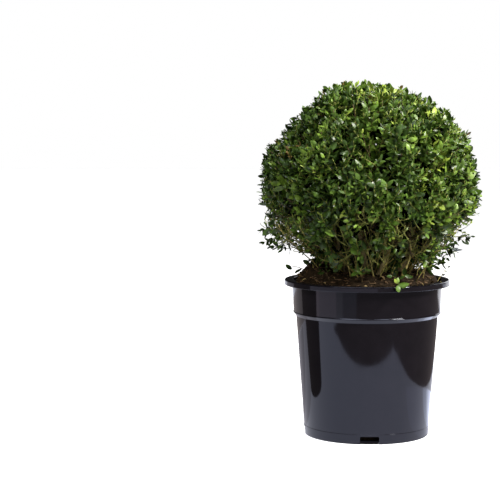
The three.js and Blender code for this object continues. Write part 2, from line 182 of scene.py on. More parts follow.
# Glowing sectors that only gloss sees, painted reflections in the collar and the sides of the wall: from
# and to an angle leftward from the front, inner and outer radius, height and colour
REFLECTION_SECTORS = (
    (97, 80, 0.9, 1.6, 0.003, (0.83, 0.71, 0.76)),
    (80, 50, 0.9, 1.6, 0.003, (0.71, 0.63, 0.68)),
    (50, 40, 0.9, 1.6, 0.003, (0.48, 0.46, 0.49)),
    (40, 19, 0.9, 1.6, 0.003, (0.33, 0.315, 0.345)),
    (175, 97, 0.9, 1.6, 0.003, (0.45, 0.4, 0.4)),
    (150, -10, 2.0, 4.0, 0.004, (0.48, 0.45, 0.5)),
    (175, 128, 0.1, 0.9, 0.001, (0.5, 0.48, 0.54)),
    (128, 106, 0.1, 0.9, 0.001, (0.74, 0.73, 0.82)),
    (-60, -100, 0.095, 0.36, 0.001, (1.12, 1.15, 1.35)),
    (-100, -114, 0.095, 0.36, 0.001, (1.5, 1.6, 1.95)),
    (-114, -155, 0.095, 0.36, 0.001, (2.1, 2.25, 2.8)),
)
# The deep shade on the floor inside the drain notches
SHADE_RADIUS = 0.088
SHADE_COLOUR = (0.006, 0.005, 0.006)
SHADE_Z = 0.0004
SHADE_IN_GLOSS_Z = 0.0008
# A narrow white card above the camera, that leaves and the edges of lip and bead shine with, and a
# white card behind on the right
WHITE_ABOVE = ((-1.7, -1.05, 2.0), (0.9, -1.05, 2.0), (0.9, -0.75, 2.05), (-1.7, -0.75, 2.05))
WHITE_RIGHT = ((1.1, 1.0, 0), (0.35, 1.5, 0), (0.35, 1.5, 1.4), (1.1, 1.0, 1.4))
WHITE_RIGHT_COLOUR = (1.6, 1.6, 1.68)
FLOOR_HALF = 12
FLOOR_COLOUR = (0.86, 0.86, 0.86, 1)
SENSOR_WIDTH = 36
CLIP = (0.05, 60)
# What the lights look at
PLANT_MIDDLE = (0, 0, 0.3)
BOUNCE_AIM = (0.02, 0, 0.28)
WHITE = (1, 1, 1)
# Lights: place, width and height, watts, colour, and whether gloss shows them
LIGHTS = {
    "key": ((1.55, -1.22, 1.76), (0.65, 0.65), 95, (1, 0.97, 0.89), True),
    "front": ((0.45, -2.3, 0.75), (0.8, 0.6), 3, WHITE, False),
    "top": ((0.3, -0.3, 2.3), (1.0, 1.0), 19, (1, 0.98, 0.92), False),
    "fill": ((-1.2, -1.9, 1.8), (0.5, 0.5), 22, WHITE, False),
    "side": ((-2.0, 0.5, 1.1), (0.9, 0.9), 18, WHITE, False),
    "bounce": ((0.55, -0.95, 0.02), (1.0, 0.8), 3.8, WHITE, False),
    "back": ((0.6, 2.0, 1.8), (1.6, 1.0), 40, WHITE, True),
}

# Leaf colours, from the shaded heart of the ball to its youngest tips. The inner tint is nearly black:
# painted shade for the leaves deep in the ball

LEAF_TINTS = {
    # Nearly black: painted shade for the leaves deep inside the ball
    "inner": (0.005, 0.010, 0.002),
    "deep": (0.034, 0.069, 0.010),
    "mid": (0.072, 0.132, 0.017),
    "fresh": (0.142, 0.232, 0.029),
    "lime": (0.250, 0.330, 0.047),
    "bronze": (0.150, 0.098, 0.028),
}
TINT_NAMES = tuple(LEAF_TINTS)
INNER_PAINTED_SHADE, DEEP, MID, FRESH, LIME, BRONZE = range(len(TINT_NAMES))
END_LEAF = 9
LEAF_TO_LIGHT = 0.1
LEAF_ROLL = 0.5
LEAF_CLEARANCE = 1.5

# Shoots of the ball on a golden spiral, the low shoots on the compost, and the compost that is bare

SEED = 8
SHOOTS = 102
SHOOT_SUNK = 8
SHOOT_LIFT = 0.22
SHOOT_WANDER = 0.25
END_LEAF_REACH = 21 * math.cos(math.radians(30))
BALL_UNEVEN = 4
# Unevenness of the clipped outline in the front view: angle from the right, and mm out or in
OUTLINE = (
    (-90, 0), (-52, -8), (-42, -12), (-30, -18), (-24, -17), (-16, -7), (-6, 0), (4, -2), (24, -2),
    (30, 5), (36, -3), (45, 5), (54, -5), (62, -3), (72, -4), (84, -6), (90, 0), (96, -5), (104, 0),
    (116, 1), (124, -7), (138, -7), (144, -11), (151, -10), (156, 2), (166, 4), (174, 0), (180, 3),
    (192, 3), (201, 0), (207, -17), (214, -25), (226, -27), (240, -10), (270, 0),
)
LOW_SHOOTS = {
    "left": {"foot": (176, 82), "reach": 27, "rise": 15, "tint": DEEP, "sides": ()},
    "right": {
        "foot": (7, 84), "reach": 28, "rise": 20, "tint": MID,
        "sides": ((0.8, 9, 5, 4), (0.6, 8, -7, 6), (0.45, 6, 8, 9), (0.3, 4, -8, 8)),
    },
    "front_right": {
        "foot": (-64, 84), "reach": 35, "rise": 9, "turn": -10, "tint": DEEP,
        "sides": ((0.6, 4, -12, 5), (0.4, 3, 9, 8)),
    },
    "front": {
        "foot": (-99, 80), "reach": 17, "rise": 14, "tint": MID,
        "sides": ((0.8, 6, 8, 5), (0.6, 4, -9, 7), (0.4, 2, 8, 9)),
    },
    "front_left": {
        "foot": (-134, 82), "reach": 18, "rise": 15, "tint": DEEP,
        "sides": ((0.5, 6, 5, 10),),
    },
    "rear": {
        "foot": (88, 82), "reach": 22, "rise": 16, "tint": MID,
        "sides": ((0.8, 8, 6, 5), (0.6, 6, -8, 7), (0.4, 3, 8, 9)),
    },
}
# Leaves in full view on the low shoots: root, way of the blade, way of the face, length and tint
POSED_LEAVES = (
    ((-109, 8, 239.6), (-0.8, 0.1, 0.6), (0.1, -1, 0.1), 12, DEEP),
    ((-84, -2, 248.6), (-0.85, -0.1, 0.5), (0.1, -1, 0.3), 11, DEEP),
    ((34, -119, 230.5), (1, -0.15, 0.12), (0.1, -0.7, 0.7), 16, MID),
    ((34, -120.5, 230), (0.1, -0.45, -0.9), (0.2, -0.9, 0.4), 10.5, MID),
    ((33, -116, 231.5), (-0.45, -0.2, 0.9), (0.2, -0.8, -0.4), 8, LIME),
    ((34, -112, 231), (0.1, 0.2, 0.95), (0.2, -0.9, 0.3), 9, FRESH),
)
# Twigs in full view against the sky, as the four points of their curves
STRAY_TWIGS = (
    ((-44, -6, 240), (-56, -8, 252), (-70, -4, 251), (-84, -2, 248.6)),
    ((84, -10, 268), (94, -14, 262), (103, -12, 256), (108, -10, 252)),
    ((88, -6, 272), (102, -8, 268), (112, -8, 262), (118, -6, 254)),
    ((96, 0, 276), (108, 4, 276), (118, 4, 272), (126, 2, 266)),
    ((90, -12, 262), (108, -10, 273), (126, -8, 288), (143, -6, 284)),
    ((-96, -8, 287), (-116, -10, 284), (-136, -8, 286), (-149, -6, 281)),
    ((-94, -4, 282), (-112, -6, 277), (-128, -6, 274), (-141, -4, 274)),
    ((-98, 2, 292), (-118, 4, 294), (-138, 6, 300), (-153, 6, 297)),
)
# Rising shoots in full view under the ball: the radius of each, and the four points of its curve
SHOOTS_IN_VIEW = (
    (1.5, ((6, -62, 226), (4, -66, 248), (-5, -70, 272), (-13, -74, 304))),
    (0.9, ((8, -62, 226), (16, -66, 242), (25, -70, 256), (29, -74, 282))),
    (0.7, ((13, -60, 227), (17, -66, 250), (20, -72, 258), (17, -76, 276))),
    (0.7, ((-24, -66, 240), (-14, -70, 246), (-4, -72, 250), (4, -74, 260))),
    (0.6, ((4, -68, 258), (12, -72, 266), (18, -74, 276), (27, -78, 290))),
    (0.9, ((-27, -58, 227), (-29, -64, 246), (-36, -72, 270), (-41, -78, 300))),
    (0.7, ((-12, -60, 228), (-20, -66, 240), (-34, -72, 254), (-44, -76, 262))),
    (2.5, ((42, -52, 228), (49, -58, 246), (62, -64, 262), (55, -70, 290))),
    (0.8, ((46, -52, 229), (47, -56, 250), (42, -62, 264), (41, -68, 288))),
    (0.8, ((57, -60, 262), (66, -66, 268), (76, -72, 276), (88, -78, 290))),
    (0.7, ((66, -54, 228), (72, -58, 240), (84, -62, 258), (96, -66, 274))),
)
SHOOT_IN_VIEW_TAPER = 0.42
THICK_SHOOT = 1.2
LOW_ARCH_OUT = 0.2
LOW_ARCH_UP = 0.9
# Low shoots and their side twigs: radius at foot and tip, and the share that stays bare
LOW_SHOOT_GIRTHS = ((0.8, 0.45), (0.5, 0.3))
LOW_SHOOT_BARE = (0.62, 0.35)
LOW_SHOOT_SIDES = (6, 5)
INNER_BRANCHES = 46
INNER_LOWEST = -0.62
INNER_REACH = 78
SECOND_BRANCHES = 430
HEART_TWIGS = 520
SKIRT_TWIGS = 100
SPRAYS_ON_LIMB = 7
BARE_TWIGS_ON_LIMB = 4
# How far out basal and ground shoots stand, and how high they rise
BASAL_SPAN = (84, (20, 62))
GROUND_SPAN = (104, (9, 30))
# Leaves on each kind of twig: the share of the twig that stays bare, and the size of the leaves
LEAVES_ON = {
    "shoots": (0.2, 1.05), "second": (0.66, 1.0), "surface": (0.22, 1.0), "skirt": (0.3, 0.8),
    "rising": (0.42, 0.72), "risen": (0.2, 0.75), "in_view": (0.5, 0.42), "from_view": (0.2, 0.46),
    "bare": (0.5, 0.5), "basal": (0.16, 1.1), "sprays": (0.2, 1.0), "shaded": (0.2, 1.05),
    "heart": (0.2, 1.05), "loose": (0.5, 0.82), "ground": (0.12, 0.85),
}
CLIPPED = ("shoots", "second", "surface", "skirt")
# Pieces that gather kinds of twigs, with the number of sides that each kind's tubes have
TWIG_PIECES = {
    "inner_branches": {"inner": 8, "carriers": 6, "shoots": 5, "second": 5},
    "young_twigs": {
        "surface": 4, "shaded": 3, "heart": 3, "skirt": 4, "risen": 4, "sprays": 4, "from_view": 4,
        "loose": 4,
    },
    "rising_twigs": {"bare": 5, "rising": 5, "in_view": 5, "basal": 5, "ground": 5},
}
SMALLER_WHERE_OPEN = 0.34
SHARE_HIDING_LEFT_OUT = 0.92
BARE_SOIL_MIDDLE = 215
BARE_SOIL_HALF = 33
BARE_SOIL_RADIUS = 42
POSED_CLEARANCE = 14
STEMS_IN_VIEW = ("right", "centre", "left", "front")
STEM_VIEW_HALF = 11
BOUGH_VIEW_HALF = 6.5
SHOOT_VIEW_HALF = 8.5
VIEW_DISTANCE = 2345
VIEW_HEIGHT = 462


# Settings that a user would change

class PotSettings(bpy.types.PropertyGroup):
    """Shape and finish of the pot."""

    segments: bpy.props.IntProperty(
        name="Segments", description="Steps round the pot", default=192, min=64)
    rim_round: bpy.props.FloatProperty(
        name="Rim rounding", description="Radius of the rim's outer edge",
        default=2 * MM, unit="LENGTH")
    waviness: bpy.props.FloatProperty(
        name="Waviness", description="How far the thin wall wanders from round",
        default=0.16 * MM, unit="LENGTH")
    colour: bpy.props.FloatVectorProperty(
        name="Plastic", description="Colour of the plastic",
        default=(0.0048, 0.0038, 0.0052), subtype="COLOR")
    roughness: bpy.props.FloatProperty(
        name="Roughness", description="Roughness of the polished wall",
        default=0.055, subtype="FACTOR")


class CompostSettings(bpy.types.PropertyGroup):
    """The mound of compost and what lies on it."""

    roughness: bpy.props.FloatProperty(
        name="Lumps", description="Height of the lumps of the compost's surface",
        default=2.4 * MM, unit="LENGTH")
    crumbs: bpy.props.IntProperty(
        name="Crumbs", description="Loose crumbs on the compost", default=4000)
    chips: bpy.props.IntProperty(
        name="Bark chips", description="Chips of bark in the compost", default=400)
    fallen_leaves: bpy.props.IntProperty(
        name="Fallen leaves", description="Dead leaves on the compost", default=80)
    litter: bpy.props.IntProperty(
        name="Twig litter", description="Bits of twig on the compost", default=190)
    dark: bpy.props.FloatVectorProperty(
        name="Moist compost", description="Colour of the moist hollows",
        default=(0.010, 0.0065, 0.004), subtype="COLOR")
    light: bpy.props.FloatVectorProperty(
        name="Dry compost", description="Colour of the dry crumbs",
        default=(0.046, 0.029, 0.015), subtype="COLOR")


class WoodSettings(bpy.types.PropertyGroup):
    """Bark of the stems and boughs."""

    relief: bpy.props.FloatProperty(
        name="Bark relief", description="Height of the ridges of the bark",
        default=0.34 * MM, unit="LENGTH")
    dark: bpy.props.FloatVectorProperty(
        name="Furrows", description="Colour between the ridges",
        default=(0.11, 0.078, 0.036), subtype="COLOR")
    light: bpy.props.FloatVectorProperty(
        name="Ridges", description="Colour of the ridges",
        default=(0.76, 0.59, 0.28), subtype="COLOR")


class FoliageSettings(bpy.types.PropertyGroup):
    """Twigs and leaves of the ball and of the low shoots."""

    surface_twigs: bpy.props.IntProperty(
        name="Surface twigs", description="Leafy twigs that end at the clipped surface",
        default=2500)
    inner_twigs: bpy.props.IntProperty(
        name="Inner twigs", description="Leafy twigs under the surface", default=1150)
    rising_shoots: bpy.props.IntProperty(
        name="Rising shoots", description="Long shoots that climb from the stems' feet", default=210)
    loose_twigs: bpy.props.IntProperty(
        name="Loose twigs", description="Sparse twigs at the sides of the underside", default=36)
    basal_shoots: bpy.props.IntProperty(
        name="Basal shoots", description="Short leafy shoots round the stems' feet", default=130)
    ground_shoots: bpy.props.IntProperty(
        name="Ground shoots", description="Low leafy shoots between the stems and the rim", default=90)
    leaf_length: bpy.props.FloatProperty(
        name="Leaf length", description="Length of a grown leaf",
        default=13 * MM, unit="LENGTH")
    leaf_width: bpy.props.FloatProperty(
        name="Leaf width", description="Width of a leaf as a share of its length",
        default=0.49, subtype="FACTOR")
    internode: bpy.props.FloatProperty(
        name="Internode", description="Distance between leaf pairs",
        default=6.2 * MM, unit="LENGTH")
    twig_bark: bpy.props.FloatVectorProperty(
        name="Twig bark", description="Colour of the older twigs",
        default=(0.13, 0.09, 0.04), subtype="COLOR")
    young_twig: bpy.props.FloatVectorProperty(
        name="Young twigs", description="Colour of the green twigs",
        default=(0.32, 0.34, 0.08), subtype="COLOR")
    tan_twig: bpy.props.FloatVectorProperty(
        name="Tan twigs", description="Colour of the thin twigs that rise from the stems",
        default=(0.62, 0.52, 0.17), subtype="COLOR")


class StudioSettings(bpy.types.PropertyGroup):
    """Camera, floor and lights."""

    lens: bpy.props.FloatProperty(
        name="Lens", description="Focal length on a 36 mm sensor", default=116.48)
    camera_place: bpy.props.FloatVectorProperty(
        name="Camera", description="Where the camera stands",
        default=(-0.1704, -2.3446, 0.4622), subtype="TRANSLATION", unit="LENGTH")
    camera_pitch: bpy.props.FloatProperty(
        name="Pitch", description="How far the camera looks down",
        default=math.radians(4.715), subtype="ANGLE")
    brightness: bpy.props.FloatProperty(
        name="Brightness", description="Power of all lights as a share of what the studio has",
        default=1.0)
    floor_glow: bpy.props.FloatProperty(
        name="Floor glow", description="Light that the floor gives by itself", default=0.9)
    gloss_floor: bpy.props.FloatVectorProperty(
        name="Floor in gloss", description="How bright polished surfaces see the floor",
        default=(1.04, 1.06, 1.2), max=2, subtype="COLOR")
    white_above: bpy.props.FloatVectorProperty(
        name="White card above", description="How bright leaves and polished edges see the card above",
        default=(5, 5.2, 5.8), max=20, subtype="COLOR")
    dark_card: bpy.props.FloatVectorProperty(
        name="Dark cards", description="How bright polished surfaces see the dark cards",
        default=(0.2, 0.17, 0.17), subtype="COLOR")
    ambient: bpy.props.FloatProperty(
        name="Ambient", description="Strength of the even light from all sides", default=0.02)


SETTINGS = {
    "ball_pot": PotSettings,
    "ball_compost": CompostSettings,
    "ball_wood": WoodSettings,
    "ball_foliage": FoliageSettings,
    "ball_studio": StudioSettings,
}


# Numbers and noise

def unit(vectors):
    return vectors / np.maximum(np.linalg.norm(vectors, axis=-1, keepdims=True), 1e-9)


def lerp(start, end, share):
    return start + (end - start) * share


def smoothstep(values, low, high):
    share = np.clip((values - low) / (high - low), 0, 1)
    return share * share * (3 - 2 * share)


def seeded_stream(seed):
    """The seeded numbers that the solids' shoots grow by."""
    state = seed & WORD
    while True:
        state = (state + 0x6D2B79F5) & WORD
        mixed = ((state ^ (state >> 15)) * (state | 1)) & WORD
        mixed ^= (mixed + (((mixed ^ (mixed >> 7)) * (mixed | 61)) & WORD)) & WORD
        yield ((mixed ^ (mixed >> 14)) & WORD) / 4294967296


def lattice_values(cells, seed):
    """A fixed value from -1 to 1 for each cell of a grid."""
    mixed = (cells[..., 0] * 73856093) ^ (cells[..., 1] * 19349663) ^ (cells[..., 2] * 83492791)
    mixed = (mixed ^ (seed * 40503 + 977)) & WORD
    mixed = ((mixed ^ (mixed >> 15)) * 0x2C1B3C6D) & WORD
    mixed = ((mixed ^ (mixed >> 12)) * 0x297A2D39) & WORD
    return (mixed ^ (mixed >> 15)) / 2147483648 - 1


def soft_noise(points, size, seed=0):
    """Smooth noise from -1 to 1 whose lumps have about the size given."""
    scaled = np.asarray(points, float) / size
    cells = np.floor(scaled).astype(np.int64)
    share = scaled - cells
    share = share * share * (3 - 2 * share)
    total = np.zeros(scaled.shape[:-1])
    for corner in np.ndindex(2, 2, 2):
        weights = np.where(np.array(corner, bool), share, 1 - share).prod(axis=-1)
        total += weights * lattice_values(cells + np.array(corner), seed)
    return total


def layered_noise(points, size, seed=0, layers=3):
    total = 0
    for layer in range(layers):
        total = total + soft_noise(points, size / 2 ** layer, seed + layer) / 2 ** layer
    return total


def on_circle(degrees, radius, height):
    angle = math.radians(degrees)
    return np.array((radius * math.cos(angle), radius * math.sin(angle), height))


def full_turn(steps):
    """Angles in radians that go round once."""
    return np.arange(steps) * 2 * math.pi / steps


def round_axis(radius, angle, height):
    """Points from their distance from the axis, their angle in radians and their height."""
    parts = radius * np.cos(angle), radius * np.sin(angle), height
    return np.stack(np.broadcast_arrays(*parts), axis=-1)


def spiral_directions(count):
    """Directions on a golden spiral that cover a ball evenly from its top down."""
    index = np.arange(count)
    height = 1 - (2 * index + 1) / count
    return round_axis(np.sqrt(1 - height ** 2), index * GOLDEN_ANGLE, height)


def turned_about(vectors, axes, angles):
    """Vectors turned about unit axes by angles."""
    cosine, sine = np.cos(angles)[..., None], np.sin(angles)[..., None]
    along = (vectors * axes).sum(axis=-1, keepdims=True) * axes
    return vectors * cosine + np.cross(axes, vectors) * sine + along * (1 - cosine)


# Curves

def bezier_weights(shares, degree):
    shares = np.asarray(shares, float)
    powers = range(degree + 1)
    terms = [math.comb(degree, i) * shares ** i * (1 - shares) ** (degree - i) for i in powers]
    return np.stack(terms, axis=-1)


def bezier(controls, shares):
    """Points on Bezier curves, from controls of any number of curves and shares along them."""
    return bezier_weights(shares, controls.shape[-2] - 1) @ controls


def bezier_headings(controls, shares):
    steps = np.diff(controls, axis=-2)
    return unit(bezier_weights(shares, controls.shape[-2] - 2) @ steps)


class Limb:
    """A stem or bough: a curve by even distance, with its radius."""

    DENSE = 400

    def __init__(self, controls, radius_at):
        self.dense = bezier(np.array(controls), np.linspace(0, 1, self.DENSE))
        steps = np.linalg.norm(np.diff(self.dense, axis=0), axis=-1)
        run = np.concatenate(([0], np.cumsum(steps)))
        self.length = run[-1]
        self.shares = run / self.length
        self.radius_at = radius_at

    def at(self, share):
        return np.stack([np.interp(share, self.shares, axis) for axis in self.dense.T], axis=-1)

    def heading(self, share, reach=0.01):
        share = np.asarray(share, float)
        return unit(self.at(np.minimum(share + reach, 1)) - self.at(np.maximum(share - reach, 0)))


# Meshes

class Joined:
    """Points and faces of many like things, gathered for one mesh."""

    def __init__(self, *first):
        self.points = []
        self.faces = []
        self.count = 0
        if first:
            self.add(*first)

    def add(self, points, *faces):
        points = np.asarray(points, float).reshape(-1, 3)
        self.points.append(points)
        self.faces.extend(np.asarray(face, np.int64) + self.count for face in faces)
        self.count += len(points)


def mesh_from(name, joined):
    """A Blender mesh in metres from points in millimetres."""
    points = np.concatenate(joined.points) * MM
    corners = np.concatenate([face.ravel() for face in joined.faces])
    sizes = np.concatenate([np.full(len(face), face.shape[1]) for face in joined.faces])
    starts = np.cumsum(sizes) - sizes
    mesh = bpy.data.meshes.new(name)
    mesh.vertices.add(len(points))
    mesh.vertices.foreach_set("co", points.astype(np.float32).ravel())
    mesh.loops.add(len(corners))
    mesh.loops.foreach_set("vertex_index", corners.astype(np.int32))
    mesh.polygons.add(len(sizes))
    mesh.polygons.foreach_set("loop_start", starts.astype(np.int32))
    mesh.update(calc_edges=True)
    mesh.validate()
    mesh.shade_smooth()
    return mesh


def new_object(name, data):
    thing = bpy.data.objects.new(name, data)
    bpy.context.scene.collection.objects.link(thing)
    return thing


def place(name, mesh, finish, replaced=()):
    """An object of the plant from a finished mesh, with its finish and what it stands for."""
    mesh.materials.clear()
    mesh.materials.append(finish)
    piece = new_object(name, mesh)
    if replaced:
        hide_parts(*replaced)
    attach(piece, BODY)


def make_piece(name, joined, finish, replaced=()):
    if not joined.count:
        raise RuntimeError(f"{name} has nothing in it")
    place(name, mesh_from(name, joined), finish, replaced)


def ring_faces(rings, sides):
    """Quads between rings of points that follow each other."""
    index = np.arange(rings * sides).reshape(rings, sides)
    ahead = np.roll(index, -1, axis=1)
    quads = np.stack((index[:-1], ahead[:-1], ahead[1:], index[1:]), axis=-1)
    return quads.reshape(-1, 4)


def end_caps(sides, rings):
    """The two faces that close a tube of rings."""
    first = np.arange(sides)
    return first[::-1][None], (first + (rings - 1) * sides)[None]


def repeated(faces, copies, points_each):
    """The same faces for each of many copies."""
    offsets = np.arange(copies)[:, None, None] * points_each
    return (faces[None] + offsets).reshape(-1, faces.shape[1])


def ring_directions(paths, sides):
    """For each point of each path, directions round it and square to it."""
    tangents = unit(np.gradient(paths, axis=-2))
    chords = unit(paths[..., -1, :] - paths[..., 0, :])
    least = np.eye(3)[np.argmin(np.abs(chords), axis=-1)]
    side = unit(np.cross(tangents, least[..., None, :]))
    other = np.cross(tangents, side)
    angles = full_turn(sides)
    cosine, sine = np.cos(angles)[:, None], np.sin(angles)[:, None]
    return side[..., None, :] * cosine + other[..., None, :] * sine


def add_tubes(joined, paths, radii, sides):
    """Closed tapering tubes along paths, all with the same number of points."""
    copies, rings, _ = paths.shape
    if not copies:
        return
    points = paths[:, :, None] + ring_directions(paths, sides) * radii[..., None, None]
    faces = (ring_faces(rings, sides), *end_caps(sides, rings))
    joined.add(points, *(repeated(face, copies, rings * sides) for face in faces))


# Materials

def node_material(name):
    """A material with its nodes and its shader."""
    material = bpy.data.materials.new(name)
    material.use_nodes = True
    return material, material.node_tree, material.node_tree.nodes["Principled BSDF"]


def set_inputs(node, values):
    for name, value in values.items():
        node.inputs[name].default_value = value


def add_noise(tree, scale, detail=3.0, stretch=(1, 1, 1), roughness=0.55):
    """A noise pattern in the object's own coordinates, with scale in lumps per metre."""
    coordinates = tree.nodes.new("ShaderNodeTexCoord")
    mapping = tree.nodes.new("ShaderNodeMapping")
    mapping.inputs["Scale"].default_value = stretch
    tree.links.new(coordinates.outputs["Object"], mapping.inputs["Vector"])
    noise = tree.nodes.new("ShaderNodeTexNoise")
    set_inputs(noise, {"Scale": scale, "Detail": detail, "Roughness": roughness})
    tree.links.new(mapping.outputs["Vector"], noise.inputs["Vector"])
    return noise.outputs["Fac"]


def add_ramp(tree, factor, stops):
    """A colour ramp through stops of position and colour."""
    ramp = tree.nodes.new("ShaderNodeValToRGB")
    elements = ramp.color_ramp.elements
    while len(elements) < len(stops):
        elements.new(0.5)
    for element, (position, colour) in zip(elements, stops):
        element.position = position
        element.color = (*colour, 1)
    tree.links.new(factor, ramp.inputs["Fac"])
    return ramp.outputs["Color"]


def add_range(tree, factor, low, high, from_low=0.3, from_high=0.7):
    """A number that follows a pattern between low and high."""
    scaled = tree.nodes.new("ShaderNodeMapRange")
    set_inputs(scaled, {"From Min": from_low, "From Max": from_high, "To Min": low, "To Max": high})
    tree.links.new(factor, scaled.inputs["Value"])
    return scaled.outputs["Result"]


def add_bump(tree, shader, height, distance):
    """Fine relief on the shader, with its height in millimetres."""
    bump = tree.nodes.new("ShaderNodeBump")
    bump.inputs["Distance"].default_value = distance * MM
    tree.links.new(height, bump.inputs["Height"])
    if shader.inputs["Normal"].is_linked:
        earlier = shader.inputs["Normal"].links[0].from_socket
        tree.links.new(earlier, bump.inputs["Normal"])
    tree.links.new(bump.outputs["Normal"], shader.inputs["Normal"])


def times(colour, factor):
    return tuple(min(channel * factor, 1.0) for channel in colour)


def patterned(name, scale, detail, stops, roughness, coarse=0.55):
    """A material whose colour follows a noise pattern, with its nodes, its shader and the pattern."""
    material, tree, shader = node_material(name)
    pattern = add_noise(tree, scale, detail, roughness=coarse)
    tree.links.new(add_ramp(tree, pattern, stops), shader.inputs["Base Color"])
    shader.inputs["Roughness"].default_value = roughness
    return material, tree, shader, pattern


def pot_plastic(settings):
    """Polished black plastic with faint flow lines, a little dust and a few dull patches."""
    colour, roughness = settings.colour, settings.roughness
    dust = [(0.35, colour), (0.8, times(colour, 1.9))]
    material, tree, shader, _ = patterned("pot_plastic", 38, 6, dust, roughness, coarse=0.7)
    streaks = add_noise(tree, 60, detail=4, stretch=(1, 1, 0.07))
    rough = add_range(tree, streaks, roughness * 0.8, roughness * 1.7)
    tree.links.new(rough, shader.inputs["Roughness"])
    set_inputs(shader, {"IOR": 1.56, "Specular Tint": (0.8, 0.84, 1, 1)})
    add_bump(tree, shader, streaks, 0.02)
    add_bump(tree, shader, add_noise(tree, 900, detail=2), 0.004)
    return material


def compost_finish(settings):
    """Dark moist peat with dry brown crumbs and fine fibres."""
    light = settings.light
    stops = [(0.32, settings.dark), (0.52, times(light, 0.55)), (0.72, light)]
    material, tree, shader, clods = patterned("compost", 160, 8, stops, 0.95, coarse=0.75)
    shader.inputs["Specular IOR Level"].default_value = 0.2
    add_bump(tree, shader, clods, 2.2)
    add_bump(tree, shader, add_noise(tree, 700, detail=3), 0.5)
    return material


def chip_finish(name, dark, light):
    """Broken bark or a dead leaf, each bit with its own shade of brown."""
    material, tree, shader, _ = patterned(name, 130, 3, [(0.35, dark), (0.65, light)], 0.8)
    add_bump(tree, shader, add_noise(tree, 1500, detail=2), 0.15)
    return material


def bark_finish(settings):
    """Yellow-brown box bark, corky and finely cracked along the stem, with grey-green weathering."""
    material, tree, shader = node_material("bark")
    ridges = add_noise(tree, 520, detail=6, stretch=(1, 1, 0.22), roughness=0.7)
    dark, light = settings.dark, settings.light
    tint = add_ramp(tree, ridges, [(0.34, dark), (0.5, times(light, 0.62)), (0.68, light)])
    weather = add_noise(tree, 90, detail=4)
    share = add_range(tree, weather, 0.0, 0.4, 0.45, 0.7)
    mix = tree.nodes.new("ShaderNodeMix")
    mix.data_type = "RGBA"
    tree.links.new(share, mix.inputs["Factor"])
    tree.links.new(tint, mix.inputs["A"])
    mix.inputs["B"].default_value = (*WEATHERED_BARK, 1)
    tree.links.new(mix.outputs["Result"], shader.inputs["Base Color"])
    shader.inputs["Roughness"].default_value = 0.82
    add_bump(tree, shader, ridges, 0.5)
    return material


def twig_finish(name, colour):
    """Thin twigs: smooth, faintly ribbed, with lighter and darker stretches."""
    stops = [(0.34, times(colour, 0.5)), (0.66, times(colour, 1.3))]
    material, tree, shader, stretches = patterned(name, 210, 3, stops, 0.6)
    add_bump(tree, shader, stretches, 0.2)
    return material


def leaf_finish(name, colour, roughness=0.36, gloss=0.5):
    """A waxy leaf of one base colour, with slight shade from leaf to leaf and a dimpled skin."""
    stops = [(0.32, times(colour, 0.42)), (0.68, times(colour, 1.66))]
    material, tree, shader, shades = patterned(name, 95, 2, stops, roughness)
    rough = add_range(tree, shades, roughness * 0.85, roughness * 1.25)
    tree.links.new(rough, shader.inputs["Roughness"])
    set_inputs(shader, {"IOR": 1.45, "Specular IOR Level": gloss})
    add_bump(tree, shader, add_noise(tree, 480, detail=2), 0.18)
    return material


# Pot

def body_radius_at(z):
    return lerp(FOOT_RADIUS, BODY_TOP_RADIUS, z / (STEP_TOP_Z - STEP_DROP))


def inner_wall(clearance, top_z):
    """Outline of the inside of the pot's wall, from its base up to a height."""
    inset = WALL + clearance
    share = (top_z - STEP_TOP_Z) / (POT_HEIGHT - STEP_TOP_Z)
    return [
        (body_radius_at(BASE_PLATE) - inset, BASE_PLATE + clearance),
        (BODY_TOP_RADIUS - inset, STEP_TOP_Z - STEP_DROP),
        (COLLAR_FOOT_RADIUS - inset, STEP_TOP_Z),
        (lerp(COLLAR_FOOT_RADIUS, COLLAR_TOP_RADIUS, share) - inset, top_z),
    ]


def fillet(before, corner, after, radius, steps=5, guard=0.15):
    """Points of an arc that rounds a corner, with a guard point on each flank beside it."""
    before, corner, after = (np.array(point, float) for point in (before, corner, after))
    arms = unit(before - corner), unit(after - corner)
    half = math.acos(np.clip(arms[0] @ arms[1], -1, 1)) / 2
    reach = radius / math.tan(half)
    middle = corner + unit(arms[0] + arms[1]) * radius / math.sin(half)
    spokes = [corner + arm * reach - middle for arm in arms]
    swing = math.pi - 2 * half
    points = [corner + arms[0] * (reach + guard)]
    for step in range(steps + 1):
        angle = swing * step / steps
        spoke = (math.sin(swing - angle) * spokes[0] + math.sin(angle) * spokes[1]) / math.sin(swing)
        points.append(middle + spoke)
    points.append(corner + arms[1] * (reach + guard))
    return points


def rounded_outline(corners):
    """An outline from corners of (radius, height, rounding). The first and last stay as they are."""
    points = [np.array(corners[0][:2], float)]
    for before, corner, after in zip(corners, corners[1:], corners[2:]):
        points.extend(fillet(before[:2], corner[:2], after[:2], corner[2]))
    points.append(np.array(corners[-1][:2], float))
    return np.array(points)


def finer_outline(outline, longest):
    """The outline with its long stretches divided."""
    points = [outline[:1]]
    for start, end in zip(outline, outline[1:]):
        parts = max(1, math.ceil(np.linalg.norm(end - start) / longest))
        points.append(lerp(start, end, np.arange(1, parts + 1)[:, None] / parts))
    return np.concatenate(points)


def turned_on_axis(outline, segments):
    """Rings of points from an outline between its two ends on the axis, and its faces."""
    angles = full_turn(segments)
    radii, heights = outline[1:-1].T
    rings = round_axis(radii[:, None], angles, heights[:, None])
    index = np.arange(segments)
    ahead = np.roll(index, -1)
    last = (len(radii) - 1) * segments
    poles = len(radii) * segments
    first_fan = np.stack((np.full(segments, poles), ahead, index), axis=-1)
    last_fan = np.stack((np.full(segments, poles + 1), last + index, last + ahead), axis=-1)
    pole_points = np.array(((0, 0, outline[0][1]), (0, 0, outline[-1][1])), float)
    return rings, pole_points, (ring_faces(len(radii), segments), first_fan, last_fan)


